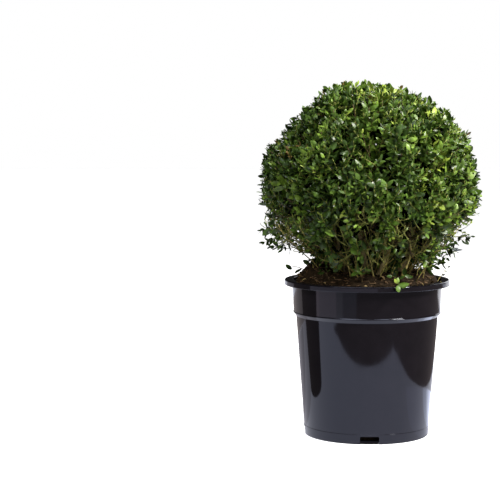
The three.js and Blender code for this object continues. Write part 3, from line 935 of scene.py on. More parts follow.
def pot_outline(rim_round):
    """The whole wall: base, foot band, body, step, collar, turned-down lip, and back down inside."""
    lip_inner = RIM_RADIUS - WALL
    lip_foot = POT_HEIGHT - LIP_HEIGHT
    band_foot = body_radius_at(0) + FOOT_BAND_PROUD
    band_top = body_radius_at(FOOT_BAND_HEIGHT) + FOOT_BAND_PROUD
    above_band = FOOT_BAND_HEIGHT + FOOT_BAND_PROUD
    inside = inner_wall(0, POT_HEIGHT)
    collar_slope = (COLLAR_TOP_RADIUS - COLLAR_FOOT_RADIUS) / (POT_HEIGHT - STEP_TOP_Z)
    corners = [
        (0, 0, 0),
        (band_foot, 0, 1.8),
        (band_top, FOOT_BAND_HEIGHT, 0.15),
        (body_radius_at(above_band), above_band, 0.15),
        (BODY_TOP_RADIUS, STEP_TOP_Z - STEP_DROP, 1.4),
        (COLLAR_FOOT_RADIUS + BEAD_PROUD, STEP_TOP_Z, 0.7),
        (COLLAR_FOOT_RADIUS + BEAD_PROUD, STEP_TOP_Z + BEAD_HEIGHT / 2, 0.6),
        (COLLAR_FOOT_RADIUS + BEAD_HEIGHT * collar_slope, STEP_TOP_Z + BEAD_HEIGHT, 0.5),
        (COLLAR_TOP_RADIUS, POT_HEIGHT - WALL, 1.2),
        (lip_inner, POT_HEIGHT - WALL, 0.8),
        (lip_inner, lip_foot, 0.4),
        (RIM_RADIUS, lip_foot, 0.7),
        (RIM_RADIUS, POT_HEIGHT, rim_round),
        (*inside[3], 0.8),
        (*inside[2], 1.0),
        (*inside[1], 1.0),
        (*inside[0], 2.0),
        (0, BASE_PLATE, 0),
    ]
    return finer_outline(rounded_outline(corners), 9)


def notch_cutters():
    """Round-cornered blocks that cut the drain notches in the foot of the wall."""
    joined = Joined()
    half = NOTCH_WIDTH / 2
    corners = [(x * half, y * NOTCH_HEIGHT) for x, y in SQUARE]
    outline = []
    for index in range(4):
        before, corner, after = corners[index - 1], corners[index], corners[(index + 1) % 4]
        outline.extend(fillet(before, corner, after, 1.6, guard=0.3))
    outline = np.array(outline)
    count = len(outline)
    for notch in range(NOTCHES):
        turn = math.radians(NOTCH_TURN + 360 * notch / NOTCHES)
        across = np.array((math.cos(turn), math.sin(turn), 0))
        outward = np.array((math.sin(turn), -math.cos(turn), 0))
        profile = outline[:, :1] * across + outline[:, 1:] * UP
        ends = [profile + outward * reach for reach in (NOTCH_INNER_RADIUS, RIM_RADIUS)]
        joined.add(np.stack(ends), ring_faces(2, count), *end_caps(count, 2))
    return joined


def cut_by(mesh, cutter_mesh):
    """The mesh with the cutter's blocks taken out of it."""
    whole = new_object("uncut", mesh)
    cutter = new_object("cutter", cutter_mesh)
    boolean = whole.modifiers.new("notches", "BOOLEAN")
    boolean.operation = "DIFFERENCE"
    boolean.solver = "EXACT"
    boolean.object = cutter
    graph = bpy.context.evaluated_depsgraph_get()
    result = bpy.data.meshes.new_from_object(whole.evaluated_get(graph))
    for shape in (whole, cutter):
        bpy.data.objects.remove(shape)
    if len(result.polygons) <= len(mesh.polygons) // 2:
        raise RuntimeError("the drain notches could not be cut")
    return result


def build_pot(settings):
    outline = pot_outline(settings.rim_round / MM)
    rings, poles, faces = turned_on_axis(outline, settings.segments)
    around = rings / np.linalg.norm(rings[..., :2], axis=-1, keepdims=True)
    sample = np.concatenate((around[..., :2] * 100, rings[..., 2:] * 0.7), axis=-1)
    wander = soft_noise(sample, 55, seed=3) + 0.35 * soft_noise(sample, 22, seed=4)
    reach = np.minimum(1, rings[..., 2] / 30) * np.minimum(1, (POT_HEIGHT - rings[..., 2]) / 12)
    outward = np.concatenate((around[..., :2], np.zeros_like(rings[..., 2:])), axis=-1)
    rings = rings + outward * (wander * reach * settings.waviness / MM)[..., None]
    joined = Joined(np.concatenate((rings.reshape(-1, 3), poles)), *faces)
    cutters = mesh_from("notches", notch_cutters())
    mesh = cut_by(mesh_from("pot_wall", joined), cutters)
    mesh.shade_smooth()
    mesh.set_sharp_from_angle(angle=math.radians(32))
    place("nursery_pot", mesh, pot_plastic(settings), ("pot",))


# Compost

def soil_height_at(radius):
    edge = COLLAR_TOP_RADIUS - WALL
    share = smoothstep(np.asarray(radius, float), MOUND_FLAT_RADIUS, edge)
    return lerp(MOUND_Z, SOIL_EDGE_Z, share)


def soil_lumps(points, height):
    """Height of the lumps at points on the compost, less beside the wall."""
    flat = np.concatenate((points[..., :2], np.zeros_like(points[..., :1])), axis=-1)
    lumps = layered_noise(flat, 15, seed=11, layers=4)
    radius = np.linalg.norm(points[..., :2], axis=-1)
    heaps = 0
    for x, y, rise, spread in SOIL_HEAPS:
        away = np.hypot(points[..., 0] - x, points[..., 1] - y) / spread
        heaps = heaps + rise * np.exp(-away ** 2)
    from_wall = COLLAR_TOP_RADIUS - radius
    lumps = lumps * np.clip(from_wall / 8, 0.25, 1) - 0.4
    return lumps * height + heaps * np.clip(from_wall / 10, 0.2, 1)


def on_compost(random, count, inner, outer, settings):
    """Points spread evenly over a ring of the lumpy compost."""
    radius = np.sqrt(random.uniform(inner ** 2, outer ** 2, count))
    angle = random.uniform(0, 2 * math.pi, count)
    points = round_axis(radius, angle, soil_height_at(radius))
    points[..., 2] += soil_lumps(points, settings.roughness / MM)
    return points


def build_mound(settings, finish):
    """The root ball: its sides follow the inside of the pot and its top is lumpy."""
    side = inner_wall(COMPOST_CLEARANCE, SOIL_EDGE_Z)
    edge_radius = side[-1][0]
    radii = lerp(edge_radius, 0, np.arange(1, MOUND_RINGS) / MOUND_RINGS)
    top = np.stack((radii, soil_height_at(radii)), axis=-1)
    floor_z = BASE_PLATE + COMPOST_CLEARANCE
    corner = side[0][0] - COMPOST_CORNER_BACK
    full = body_radius_at(COMPOST_CORNER_Z) - WALL - COMPOST_CLEARANCE
    side = [(corner, floor_z), (corner, COMPOST_CORNER_Z), (full, COMPOST_CORNER_Z + 1), *side[1:]]
    outline = np.concatenate(([(0, floor_z)], side, top, [(0, MOUND_Z)]))
    rings, poles, faces = turned_on_axis(outline, MOUND_SEGMENTS)
    on_top = rings[len(side) - 1:]
    on_top[..., 2] += soil_lumps(on_top, settings.roughness / MM)
    joined = Joined(np.concatenate((rings.reshape(-1, 3), poles)), *faces)
    make_piece("root_ball_compost", joined, finish, ("root_ball",))


def random_turns(random, count):
    """Random right-handed axes, one set for each thing."""
    first = unit(random.normal(size=(count, 3)))
    second = unit(np.cross(first, unit(random.normal(size=(count, 3)))))
    return np.stack((first, second, np.cross(first, second)), axis=1)


def crumb_forms():
    """An octahedron, and the rounder lump that its faces split into four make."""
    corners = np.array([(1, 0, 0), (-1, 0, 0), (0, 1, 0), (0, -1, 0), (0, 0, 1), (0, 0, -1)], float)
    eight = np.array([
        (0, 2, 4), (2, 1, 4), (1, 3, 4), (3, 0, 4), (2, 0, 5), (1, 2, 5), (3, 1, 5), (0, 3, 5),
    ])
    points, finer, middles = list(corners), [], {}

    def middle(*pair):
        key = tuple(sorted(pair))
        if key not in middles:
            middles[key] = len(points)
            points.append(unit(corners[key[0]] + corners[key[1]]))
        return middles[key]

    for a, b, c in eight:
        ab, bc, ca = middle(a, b), middle(b, c), middle(c, a)
        finer += [(a, ab, ca), (ab, b, bc), (ca, bc, c), (ab, bc, ca)]
    return (corners, eight), (np.array(points), np.array(finer))


def build_crumbs(settings, finish):
    """Loose crumbs of two forms, half sunk in the compost."""
    random = np.random.default_rng(SEED)
    joined = Joined()
    for (form, faces), (share, *sizes) in zip(crumb_forms(), CRUMBS):
        count = int(settings.crumbs * share)
        centres = on_compost(random, count, 0, COLLAR_TOP_RADIUS - 5, settings)
        size = random.uniform(*sizes, count) * random.uniform(0.6, 1, count)
        turns = random_turns(random, count)
        shape = form[None] * random.uniform(0.6, 1.25, (count, len(form), 1))
        shape = shape * random.uniform(0.55, 1.1, (count, 1, 3)) * size[:, None, None]
        joined.add(shape @ turns + centres[:, None], repeated(faces, count, len(form)))
    make_piece("compost_crumbs", joined, finish)


def build_chips(settings):
    """Flat broken chips of bark, lying on the compost."""
    random = np.random.default_rng(SEED + 1)
    count = settings.chips
    signs = np.array([(x, y, z) for z in (-1, 1) for x, y in SQUARE], float)
    faces = np.concatenate((*end_caps(4, 2), ring_faces(2, 4)))
    centres = on_compost(random, count, 15, COLLAR_TOP_RADIUS - 8, settings)
    along = unit(random.normal(size=(count, 3)) * (1, 1, 0.3))
    across = unit(np.cross(UP + random.normal(size=(count, 3)) * 0.25, along))
    axes = np.stack((along, across, np.cross(along, across)), axis=1)
    ranges = ((1.2, 4.4), (0.5, 1.6), (0.3, 0.8))
    halves = np.stack([random.uniform(*span, count) for span in ranges], axis=-1)
    shape = signs[None] * halves[:, None] * random.uniform(0.6, 1.2, (count, 8, 1))
    joined = Joined(shape @ axes + centres[:, None], repeated(faces, count, 8))
    finish = chip_finish("bark_chips", *CHIP_COLOURS)
    make_piece("bark_chips", joined, finish)


def build_fallen_leaves(settings):
    """Dead leaves that have dropped through the ball, curled and tan."""
    random = np.random.default_rng(SEED + 2)
    count = settings.fallen_leaves
    roots = on_compost(random, count, 20, COLLAR_TOP_RADIUS - 6, settings) + UP * 0.7
    blades = unit(random.normal(size=(count, 3)) * (1, 1, 0.22))
    faces = unit(UP + random.normal(size=(count, 3)) * 0.4)
    leaves = Leaves(roots, blades, faces, random.uniform(6, 11.5, count), np.zeros(count, int))
    joined = Joined()
    leaves.stamp(joined, random, width=0.5, curl=0.5, cup=-0.7)
    finish = chip_finish("fallen_leaves", *DEAD_LEAF_COLOURS)
    make_piece("fallen_leaves", joined, finish)


def build_litter(settings, finish):
    """Bits of twig that lie on the compost."""
    random = np.random.default_rng(SEED + 3)
    count = settings.litter
    middle = on_compost(random, count, 10, COLLAR_TOP_RADIUS - 14, settings) + UP * 0.6
    along = unit(random.normal(size=(count, 3)) * (1, 1, 0.12))
    half = random.uniform(3, 11, count)[:, None]
    bend = random.normal(size=(count, 3)) * (1.5, 1.5, 0.3)
    controls = np.stack((middle - along * half, middle + bend, middle + along * half), axis=1)
    paths = bezier(controls, np.linspace(0, 1, 5))
    radii = np.broadcast_to(random.uniform(0.25, 0.6, count)[:, None], (count, 5))
    joined = Joined()
    add_tubes(joined, paths, radii, 4)
    make_piece("twig_litter", joined, finish)


# Stems and boughs

def stem_limb(row):
    height = row["fork"] + START_DEPTH
    start = on_circle(*row["foot"], MOUND_Z - START_DEPTH)
    lean, lean_to = row["lean"]
    end = start + on_circle(lean_to, height * math.tan(math.radians(lean)), height)
    bends = [lerp(start, end, along) + UP * row["fork"] * lift for along, lift in STEM_BENDS]

    def radius_at(share):
        return row["girth"] * lerp(1, STEM_TAPER, share) * (1 + FLARE * np.exp(-share / FLARE_SHARE))

    return Limb([start, *bends, end], radius_at)


def hollow_height_at(radius):
    rise = math.sqrt(max(0, 1 - (radius / HOLLOW_FOOT_RADIUS) ** 2))
    return lerp(HOLLOW_FOOT_Z, HOLLOW_TOP_Z, rise)


def bough_limb(stem, row, index):
    """The leader goes on from the stem's tip, and the side boughs leave from inside the stem."""
    leader = index == 0
    share = 1 if leader else SIDE_BOUGH_FORKS[index - 1]
    start, along = stem.at(share), stem.heading(share)
    angle, reach = row["boughs"][index]
    end = on_circle(angle, reach, hollow_height_at(reach) + BOUGH_SUNK)
    end[0] += BALL_CENTRE[0]
    span = np.linalg.norm(end - start)
    towards = unit(end - start)
    leave = along if leader else unit(lerp(along, towards, SIDE_BOUGH_TURN))
    enter = unit(lerp(towards, UP, BOUGH_UPTURN))
    rise = start + leave * span * BOUGH_PULL_OUT
    bend = end - enter * span * BOUGH_PULL_INTO
    radius = stem.radius_at(share) * (1 if leader else SIDE_BOUGH_GIRTH)
    return Limb([start, rise, bend, end], lambda at: radius * lerp(1, BOUGH_TAPER, at))


def grow_limbs():
    """Every stem with its boughs."""
    limbs = {}
    for name, row in STEMS.items():
        stem = stem_limb(row)
        limbs[name] = (stem, [bough_limb(stem, row, index) for index in range(len(row["boughs"]))])
    return limbs


def add_bark_tube(joined, path, radii, sides, relief, foot_lobes=0.0):
    """A tube with ridged bark along it, and lobes at its foot where it flares into the roots."""
    directions = ring_directions(path[None], sides)[0]
    surface = path[:, None] + directions * radii[:, None, None]
    stretched = surface * (1, 1, 0.28)
    ridges = 1 - 2 * np.abs(soft_noise(stretched, 2.1, seed=21))
    flakes = soft_noise(surface * (1, 1, 0.6), 3.4, seed=22)
    knots = np.maximum(0, soft_noise(surface, 8, seed=23) - 0.3)
    strength = np.minimum(1, radii / 4)[:, None]
    raised = (ridges * 0.6 + flakes * 0.5) * relief * strength + knots * radii[:, None] * 0.45
    if foot_lobes:
        angles = full_turn(sides)
        height = path[:, 2] - path[0, 2]
        lobes = np.cos(3 * angles + path[0, 0])[None] + 0.5 * np.cos(5 * angles + path[0, 1])[None]
        raised = raised + lobes * foot_lobes * np.exp(-height / 6)[:, None]
    surface = surface + directions * raised[..., None]
    joined.add(surface, ring_faces(len(path), sides), *end_caps(sides, len(path)))


def build_wood(settings, finish):
    """Each stem with its boughs as one branching piece with bark relief."""
    relief = settings.relief / MM
    for name, (stem, boughs) in grow_limbs().items():
        joined = Joined()
        leader = boughs[0]
        stem_shares = np.linspace(0, 1, int(stem.length / 0.9))
        leader_shares = np.linspace(0, 1, int(leader.length / 1.1))[1:]
        path = np.concatenate((stem.at(stem_shares), leader.at(leader_shares)))
        radii = np.concatenate((stem.radius_at(stem_shares), leader.radius_at(leader_shares)))
        distance = stem_shares * stem.length
        distance = np.concatenate((distance, stem.length + leader_shares * leader.length))
        for fork in SIDE_BOUGH_FORKS[:len(boughs) - 1]:
            swelling = np.exp(-((distance - fork * stem.length - 2) / 4.5) ** 2)
            radii = radii * (1 + 0.13 * swelling)
        add_bark_tube(joined, path, radii, STEM_SIDES, relief, foot_lobes=stem.radius_at(0) * 0.1)
        for bough in boughs[1:]:
            shares = np.linspace(0, 1, int(bough.length / 1.3))
            flare = 1 + 0.45 * np.exp(-shares * bough.length / 4)
            girth = bough.radius_at(shares) * flare
            add_bark_tube(joined, bough.at(shares), girth, BOUGH_SIDES, relief)
        nodes = [f"stem_{name}"] + [f"bough_{name}_{index + 1}" for index in range(len(boughs))]
        make_piece(f"wood_{name}", joined, finish, nodes)


# The clipped surface

def angles_of(directions):
    """Azimuth and angle below the horizon, in degrees."""
    azimuth = np.degrees(np.arctan2(directions[..., 1], directions[..., 0]))
    return azimuth, -np.degrees(np.arcsin(np.clip(directions[..., 2], -1, 1)))


def clip_radius(directions):
    """How far the shears let the ball reach: uneven all over, and along its sides as photographed."""
    _, below = angles_of(directions)
    shoulder = 4 * np.exp(-((below + 58) / 15) ** 2)
    surface = directions * BALL_RADIUS
    uneven = 2.2 * soft_noise(surface, 46, seed=31) + 1.8 * soft_noise(surface, 17, seed=32)
    side = smoothstep(np.abs(directions[..., 1]), 0.8, 0.45)
    around = np.degrees(np.arctan2(directions[..., 2], directions[..., 0]))
    around = np.where(around < OUTLINE[0][0], around + 360, around)
    outline = np.interp(around, *np.array(OUTLINE, float).T)
    return BALL_RADIUS - lerp(shoulder + uneven, 0.4 * uneven - outline, side)


def skirt_height(points):
    """The underside of the ball, which rises outward."""
    radius = np.hypot(points[..., 0] - BALL_CENTRE[0], points[..., 1])
    share = np.clip((radius - SKIRT_INNER_RADIUS) / (BALL_RADIUS - SKIRT_INNER_RADIUS), 0, 1)
    return lerp(SKIRT_INNER_Z, SKIRT_OUTER_Z, share)


def from_centre(points):
    """Direction and distance of points from the ball's centre."""
    apart = points - BALL_CENTRE
    distance = np.linalg.norm(apart, axis=-1)
    return apart / np.maximum(distance, 1e-9)[..., None], distance


def clear_of_pot(points, clearance=1.0):
    """Whether points are above the compost and above the rim."""
    radius = np.linalg.norm(points[..., :2], axis=-1)
    over_wall = radius > COLLAR_TOP_RADIUS - 2 * WALL
    floor = np.where(over_wall, POT_HEIGHT, soil_height_at(radius))
    return points[..., 2] > floor + clearance


def inside_clip(points, slack, clearance=1.0):
    """Whether points are within the clipped outline, and above the compost and the rim."""
    directions, distance = from_centre(points)
    return (distance <= clip_radius(directions) + slack) & clear_of_pot(points, clearance)


def within_ball(points, slack=3.0, drop=4.0):
    """The same, and above the underside of the ball or a little below it."""
    return inside_clip(points, slack) & (points[..., 2] > skirt_height(points) - drop)


def hollows(directions):
    """How deep the surface sinks between the clumps of shoots."""
    surface = directions * BALL_RADIUS
    clumps = smoothstep(soft_noise(surface, 28, seed=41), 0.05, 0.6)
    holes = smoothstep(soft_noise(surface, 46, seed=42), 0.3, 0.52)
    left, right = loose_sides(directions)
    return 12 * clumps + 30 * holes + 5 * left + 6 * right


def loose_sides(directions):
    """1 where the photograph shows loose twigs against the sky, low on the left and on the right."""
    azimuth, below = angles_of(directions)
    left = smoothstep(below, -6, 15) * np.exp(-((np.abs(azimuth) - 180) / 46) ** 4)
    right = smoothstep(below, 8, 24) * np.exp(-(azimuth / 42) ** 4)
    right = right * (1 - 0.5 * smoothstep(below, 34, 44))
    return left, right


def side_openness(directions):
    left, right = loose_sides(directions)
    return np.clip(0.85 * left + right, 0, 1)


def underside_openness(directions):
    """1 on the lower part of the ball between tufts, where the rising shoots are in view."""
    _, below = angles_of(directions)
    tufts = smoothstep(soft_noise(directions * BALL_RADIUS, 30, seed=43), 0.0, 0.35)
    front = lerp(0.55, 1.0, smoothstep(-directions[..., 1], -0.3, 0.4))
    return smoothstep(below, 6, 27) * front * (1 - 0.65 * tufts)


# Twigs

class Twigs:
    """Many twigs as Bezier curves, with the radius of each at its foot and its tip."""

    SAMPLES = 6

    def __init__(self, controls, foot_radius, tip_radius):
        count = len(controls)
        self.controls = controls
        self.foot_radius = np.broadcast_to(np.asarray(foot_radius, float), (count,))
        self.tip_radius = np.broadcast_to(np.asarray(tip_radius, float), (count,))

    def __len__(self):
        return len(self.controls)

    def only(self, keep):
        return Twigs(self.controls[keep], self.foot_radius[keep], self.tip_radius[keep])

    def ends(self):
        return self.controls[:, -1]

    def paths(self):
        return bezier(self.controls, np.linspace(0, 1, self.SAMPLES))

    def radii(self, shares=np.linspace(0, 1, SAMPLES)):
        return lerp(self.foot_radius[:, None], self.tip_radius[:, None], shares)

    def lengths(self):
        return np.linalg.norm(np.diff(self.paths(), axis=1), axis=-1).sum(axis=1)

    def samples(self, shares):
        """Points, headings and radii along all the twigs, for others to branch from."""
        shares = np.asarray(shares, float)
        points = bezier(self.controls, shares).reshape(-1, 3)
        headings = bezier_headings(self.controls, shares).reshape(-1, 3)
        return points, headings, self.radii(shares).reshape(-1)


def join_samples(*groups):
    return tuple(np.concatenate(parts) for parts in zip(*groups))


def branch_to(tips, growth, parents, wanted, foot_share=0.75, tip_radius=0.35, curl=0.5, turn=1.3):
    """Twigs to the tips, each from the parent sample that suits its distance and its growth best."""
    points, headings, radii = parents
    chosen = np.empty(len(tips), int)
    for index, (tip, grow) in enumerate(zip(tips, growth)):
        apart = tip - points
        distance = np.linalg.norm(apart, axis=-1)
        agree = (apart @ grow) / np.maximum(distance, 1e-6)
        chosen[index] = np.argmin(np.abs(distance - wanted) / wanted + turn * (1 - agree))
    start = points[chosen]
    apart = tips - start
    span = np.linalg.norm(apart, axis=-1, keepdims=True)
    leave = unit(lerp(headings[chosen], unit(apart), 0.55))
    enter = unit(lerp(unit(apart), growth, curl))
    controls = np.stack((start, start + leave * span * 0.36, tips - enter * span * 0.34, tips), axis=1)
    foot = np.minimum(radii[chosen] * foot_share, 0.3 + 0.022 * span[:, 0])
    return Twigs(controls, np.maximum(foot, tip_radius), tip_radius)


def side_twigs(parents, random, each, reach, low, radius=0.55):
    """Short twigs that leave others on all sides and turn upright."""
    shares = random.uniform(low, 0.95, (len(parents), each))
    starts = bezier(parents.controls, shares).reshape(-1, 3)
    along = bezier_headings(parents.controls, shares).reshape(-1, 3)
    around = unit(np.cross(along, random.normal(size=along.shape)))
    leave = unit(0.6 * along + around + 0.2 * UP)
    length = random.uniform(*reach, (len(starts), 1))
    ends = starts + unit(leave + 0.5 * UP) * length
    bends = starts + leave * length * 0.4, ends - UP * length * 0.15
    return Twigs(np.stack((starts, *bends, ends), axis=1), radius, 0.34)


def make_twigs(name, finish, groups, replaced=()):
    """One piece from groups of twigs, each with the number of sides of its tubes."""
    joined = Joined()
    for twigs, sides in groups:
        add_tubes(joined, twigs.paths(), twigs.radii(), sides)
    make_piece(name, joined, finish, replaced)


def ball_shoots():
    """The solids' shoots: the same rule and the same seeded numbers, from under the surface to it."""
    froms, ends = [], []
    for index, outward in enumerate(spiral_directions(SHOOTS)):
        random = seeded_stream(SEED + index)
        drift = np.array([next(random) - 0.5 for _ in range(3)])
        along = unit(outward + UP * SHOOT_LIFT * (1 - abs(outward[2])) + drift * 2 * SHOOT_WANDER)
        start = BALL_CENTRE + outward * (CORE_RADIUS - SHOOT_SUNK)
        end_radius = BALL_RADIUS - END_LEAF_REACH - BALL_UNEVEN * next(random)
        end = start + along * (end_radius - CORE_RADIUS + SHOOT_SUNK)
        end = BALL_CENTRE + unit(end - BALL_CENTRE) * end_radius
        if within_ball(np.stack((start, end)), slack=0, drop=0).all():
            froms.append(start)
            ends.append(end)
    return np.array(froms), np.array(ends)


def grow_skeleton(limbs):
    """Inner branches from the tips of the boughs, and on them the branches that end as the shoots."""
    tips = [bough for _, boughs in limbs.values() for bough in boughs]
    ends = np.array([bough.at(1) for bough in tips])
    headings = np.array([bough.heading(1) for bough in tips])
    radii = np.array([bough.radius_at(1) for bough in tips])
    outward = spiral_directions(INNER_BRANCHES)
    outward = outward[outward[:, 2] > INNER_LOWEST]
    inner_tips = BALL_CENTRE + outward * INNER_REACH
    inner = branch_to(inner_tips, unit(outward + UP * 0.3), (ends, headings, radii), wanted=40,
                      foot_share=0.8, tip_radius=1.1, turn=0.5)
    inner.foot_radius = np.maximum(inner.foot_radius, 1.5)
    starts, shoot_ends = ball_shoots()
    growth = unit(shoot_ends - starts)
    carriers = branch_to(starts, growth, join_samples(inner.samples((0.5, 0.75, 1.0))), wanted=52,
                         foot_share=0.8, tip_radius=0.95, turn=0.8)
    carriers.foot_radius = np.maximum(carriers.foot_radius, 1.2)
    thirds = [lerp(starts, shoot_ends, share) for share in (0, 1 / 3, 2 / 3, 1)]
    shoots = Twigs(np.stack(thirds, axis=1), 0.95, 0.5)
    return inner, carriers, shoots


def surface_tips(count, random, depth, spread):
    """Directions from the centre, on a jittered golden spiral, and tips under the surface there."""
    directions = spiral_directions(count)
    directions = unit(directions + random.normal(size=directions.shape) * spread)
    reach = clip_radius(directions) - depth
    return directions, BALL_CENTRE + directions * reach[:, None]


# Leaves

FULL_LEAF = ((0.0, 0.14, 0.38, 0.64, 0.87, 1.0), (0.0, 0.56, 1.0, 0.92, 0.5, 0.0))
PLAIN_LEAF = ((0.0, 0.3, 0.72, 1.0), (0.0, 0.86, 0.9, 0.0))


def leaf_form(stations, widths):
    """Half outlines on both sides of a midrib along +X from its root: points, quads and triangles."""
    inner = range(1, len(stations) - 1)
    midrib = [(station, 0) for station in stations]
    left = [(stations[i], widths[i]) for i in inner]
    right = [(stations[i], -widths[i]) for i in inner]
    points = np.array(midrib + left + right, float)
    quads, triangles = [], []
    ribs, edges = len(stations), len(stations) - 2
    for first, flip in ((ribs, 1), (ribs + edges, -1)):
        fans = [(0, 1, first), (ribs - 2, ribs - 1, first + edges - 1)]
        strips = [(i + 1, i + 2, first + i + 1, first + i) for i in range(edges - 1)]
        triangles += [fan[::flip] for fan in fans]
        quads += [strip[::flip] for strip in strips]
    return points, np.array(quads), np.array(triangles)


class Leaves:
    """Places, directions, lengths and tints of many leaves."""

    PARTS = ("roots", "blades", "faces", "lengths", "tints")

    def __init__(self, roots, blades, faces, lengths, tints):
        self.roots = roots
        self.blades = blades
        self.faces = unit(faces - (faces * blades).sum(axis=-1, keepdims=True) * blades)
        self.lengths = lengths
        self.tints = tints

    def only(self, keep):
        return Leaves(*(getattr(self, part)[keep] for part in self.PARTS))

    def tips(self):
        return self.roots + self.blades * self.lengths[:, None]

    def middles(self):
        return lerp(self.roots, self.tips(), 0.5)

    def stamp(self, joined, random, width, curl=0.17, cup=0.3, form=FULL_LEAF):
        """Adds the leaves: curl bends the blade back along its length, and cup arches it across."""
        if not len(self.roots):
            return
        outline, quads, triangles = leaf_form(*form)
        count = len(self.roots)
        length = self.lengths[:, None, None]
        half = length * width / 2 * random.uniform(0.84, 1.14, (count, 1, 1))
        along, across = outline[None, :, :1], outline[None, :, 1:]
        curls = curl * random.uniform(-0.2, 2.0, (count, 1, 1))
        cups = cup * random.uniform(0.1, 1.9, (count, 1, 1))
        lift = length * curls * (along - 1.35 * along ** 2) - half * cups * np.abs(across)
        edges = np.cross(self.faces, self.blades)[:, None]
        points = (
            self.roots[:, None]
            + self.blades[:, None] * along * length
            + edges * across * half
            + self.faces[:, None] * lift
        )
        each = len(outline)
        joined.add(points, repeated(quads, count, each), repeated(triangles, count, each))


def join_leaves(*groups):
    parts = ([getattr(group, part) for group in groups] for part in Leaves.PARTS)
    return Leaves(*(np.concatenate(part) for part in parts))


def leaves_on(twigs, tints, random, settings, bare, size=1.0):
    """Leaf pairs along the twigs, each square to the last, more upright and smaller towards the tip."""
    count = len(twigs)
    lengths = twigs.lengths()
    internode = settings.internode / MM
    most = int(np.max(lengths) / internode) + 2
    step = internode / lengths[:, None] * random.uniform(0.8, 1.25, (count, 1))
    order = np.arange(most)[None]
    shares = 1 - order * step - random.uniform(0, 0.3, (count, 1)) * step
    keep = shares > bare
    at = np.clip(shares, 0, 1)
    roots = bezier(twigs.controls, at)
    axes = bezier_headings(twigs.controls, at)
    spin = random.uniform(0, math.pi, (count, 1)) + order * math.pi / 2
    spin = spin + random.normal(size=spin.shape) * 0.2
    beside = np.where(np.abs(axes[..., 2:]) > 0.9, (1.0, 0.0, 0.0), UP)
    across = turned_about(unit(np.cross(axes, beside)), axes, spin)
    age = np.minimum(order / 3.5, 1)
    young = random.uniform(0, 1, (count, 1)) < 0.6
    opening = np.radians(np.where(young, lerp(27, 70, age), lerp(48, 74, age)))
    scale = np.where(young, lerp(0.58, 1.0, np.minimum(order / 2.2, 1)), lerp(0.85, 1.0, age))
    spray = np.clip(random.normal(1, 0.21, count), 0.6, 1.5) * size
    grown = settings.leaf_length / MM * scale * spray[:, None]
    lean, _ = from_centre(roots)
    places = []
    for side in (1, -1):
        angle = opening + random.normal(size=opening.shape) * 0.22
        cosine, sine = np.cos(angle)[..., None], np.sin(angle)[..., None]
        blades = unit(axes * cosine + across * side * sine)
        faces = axes * sine - across * side * cosine + LEAF_TO_LIGHT * unit(lean + UP)
        faces = turned_about(faces, blades, random.normal(size=opening.shape) * LEAF_ROLL)
        sizes = grown * random.uniform(0.8, 1.15, grown.shape)
        tinted = np.broadcast_to(tints[:, None], keep.shape)
        places.append(Leaves(roots[keep], blades[keep], faces[keep], sizes[keep], tinted[keep]))
    return join_leaves(*places)


def deal_tints(tips, random):
    """A tint for each spray: deeper low and to the left as painted shade, lighter and yellower at the
    top and right as painted light from the key lamp there.
    """
    patches = soft_noise(tips, 42, seed=51) + 0.5 * soft_noise(tips, 18, seed=52)
    right_painted_light, above = ((tips - BALL_CENTRE) / BALL_RADIUS)[:, (0, 2)].T
    # Lighter towards the right and the top: painted light where the key lamp falls; darker low and left:
    # painted shade
    value = 0.55 * patches + 0.42 * random.normal(size=len(tips)) + 0.18 * right_painted_light + 0.2 * above
    return np.select([value < -0.12, value < 0.42, value < 0.9], [DEEP, MID, FRESH], LIME)


def colour_ends(leaves, random):
    """The small leaves at the ends are often a step lighter, and bronze on some sprays at the top."""
    ends = leaves.lengths < END_LEAF
    lighter = ends & (random.uniform(0, 1, len(ends)) < 0.3) & (leaves.tints < LIME)
    tints = np.where(lighter, leaves.tints + 1, leaves.tints)
    below = BALL_CENTRE[2] - leaves.roots[:, 2]
    flushed = soft_noise(leaves.roots, 24, seed=61) - smoothstep(below, -60, 20)
    leaves.tints = np.where(ends & (flushed > 0.5), BRONZE, tints)
    return leaves


# The ball

def thinned(directions, random, share_open, *thinnings):
    """Which of many twigs stay, where each thinning takes its share of them away."""
    stays = 1 - share_open * side_openness(directions)
    for thinning in thinnings:
        stays = stays * (1 - thinning)
    return random.uniform(0, 1, len(directions)) < stays


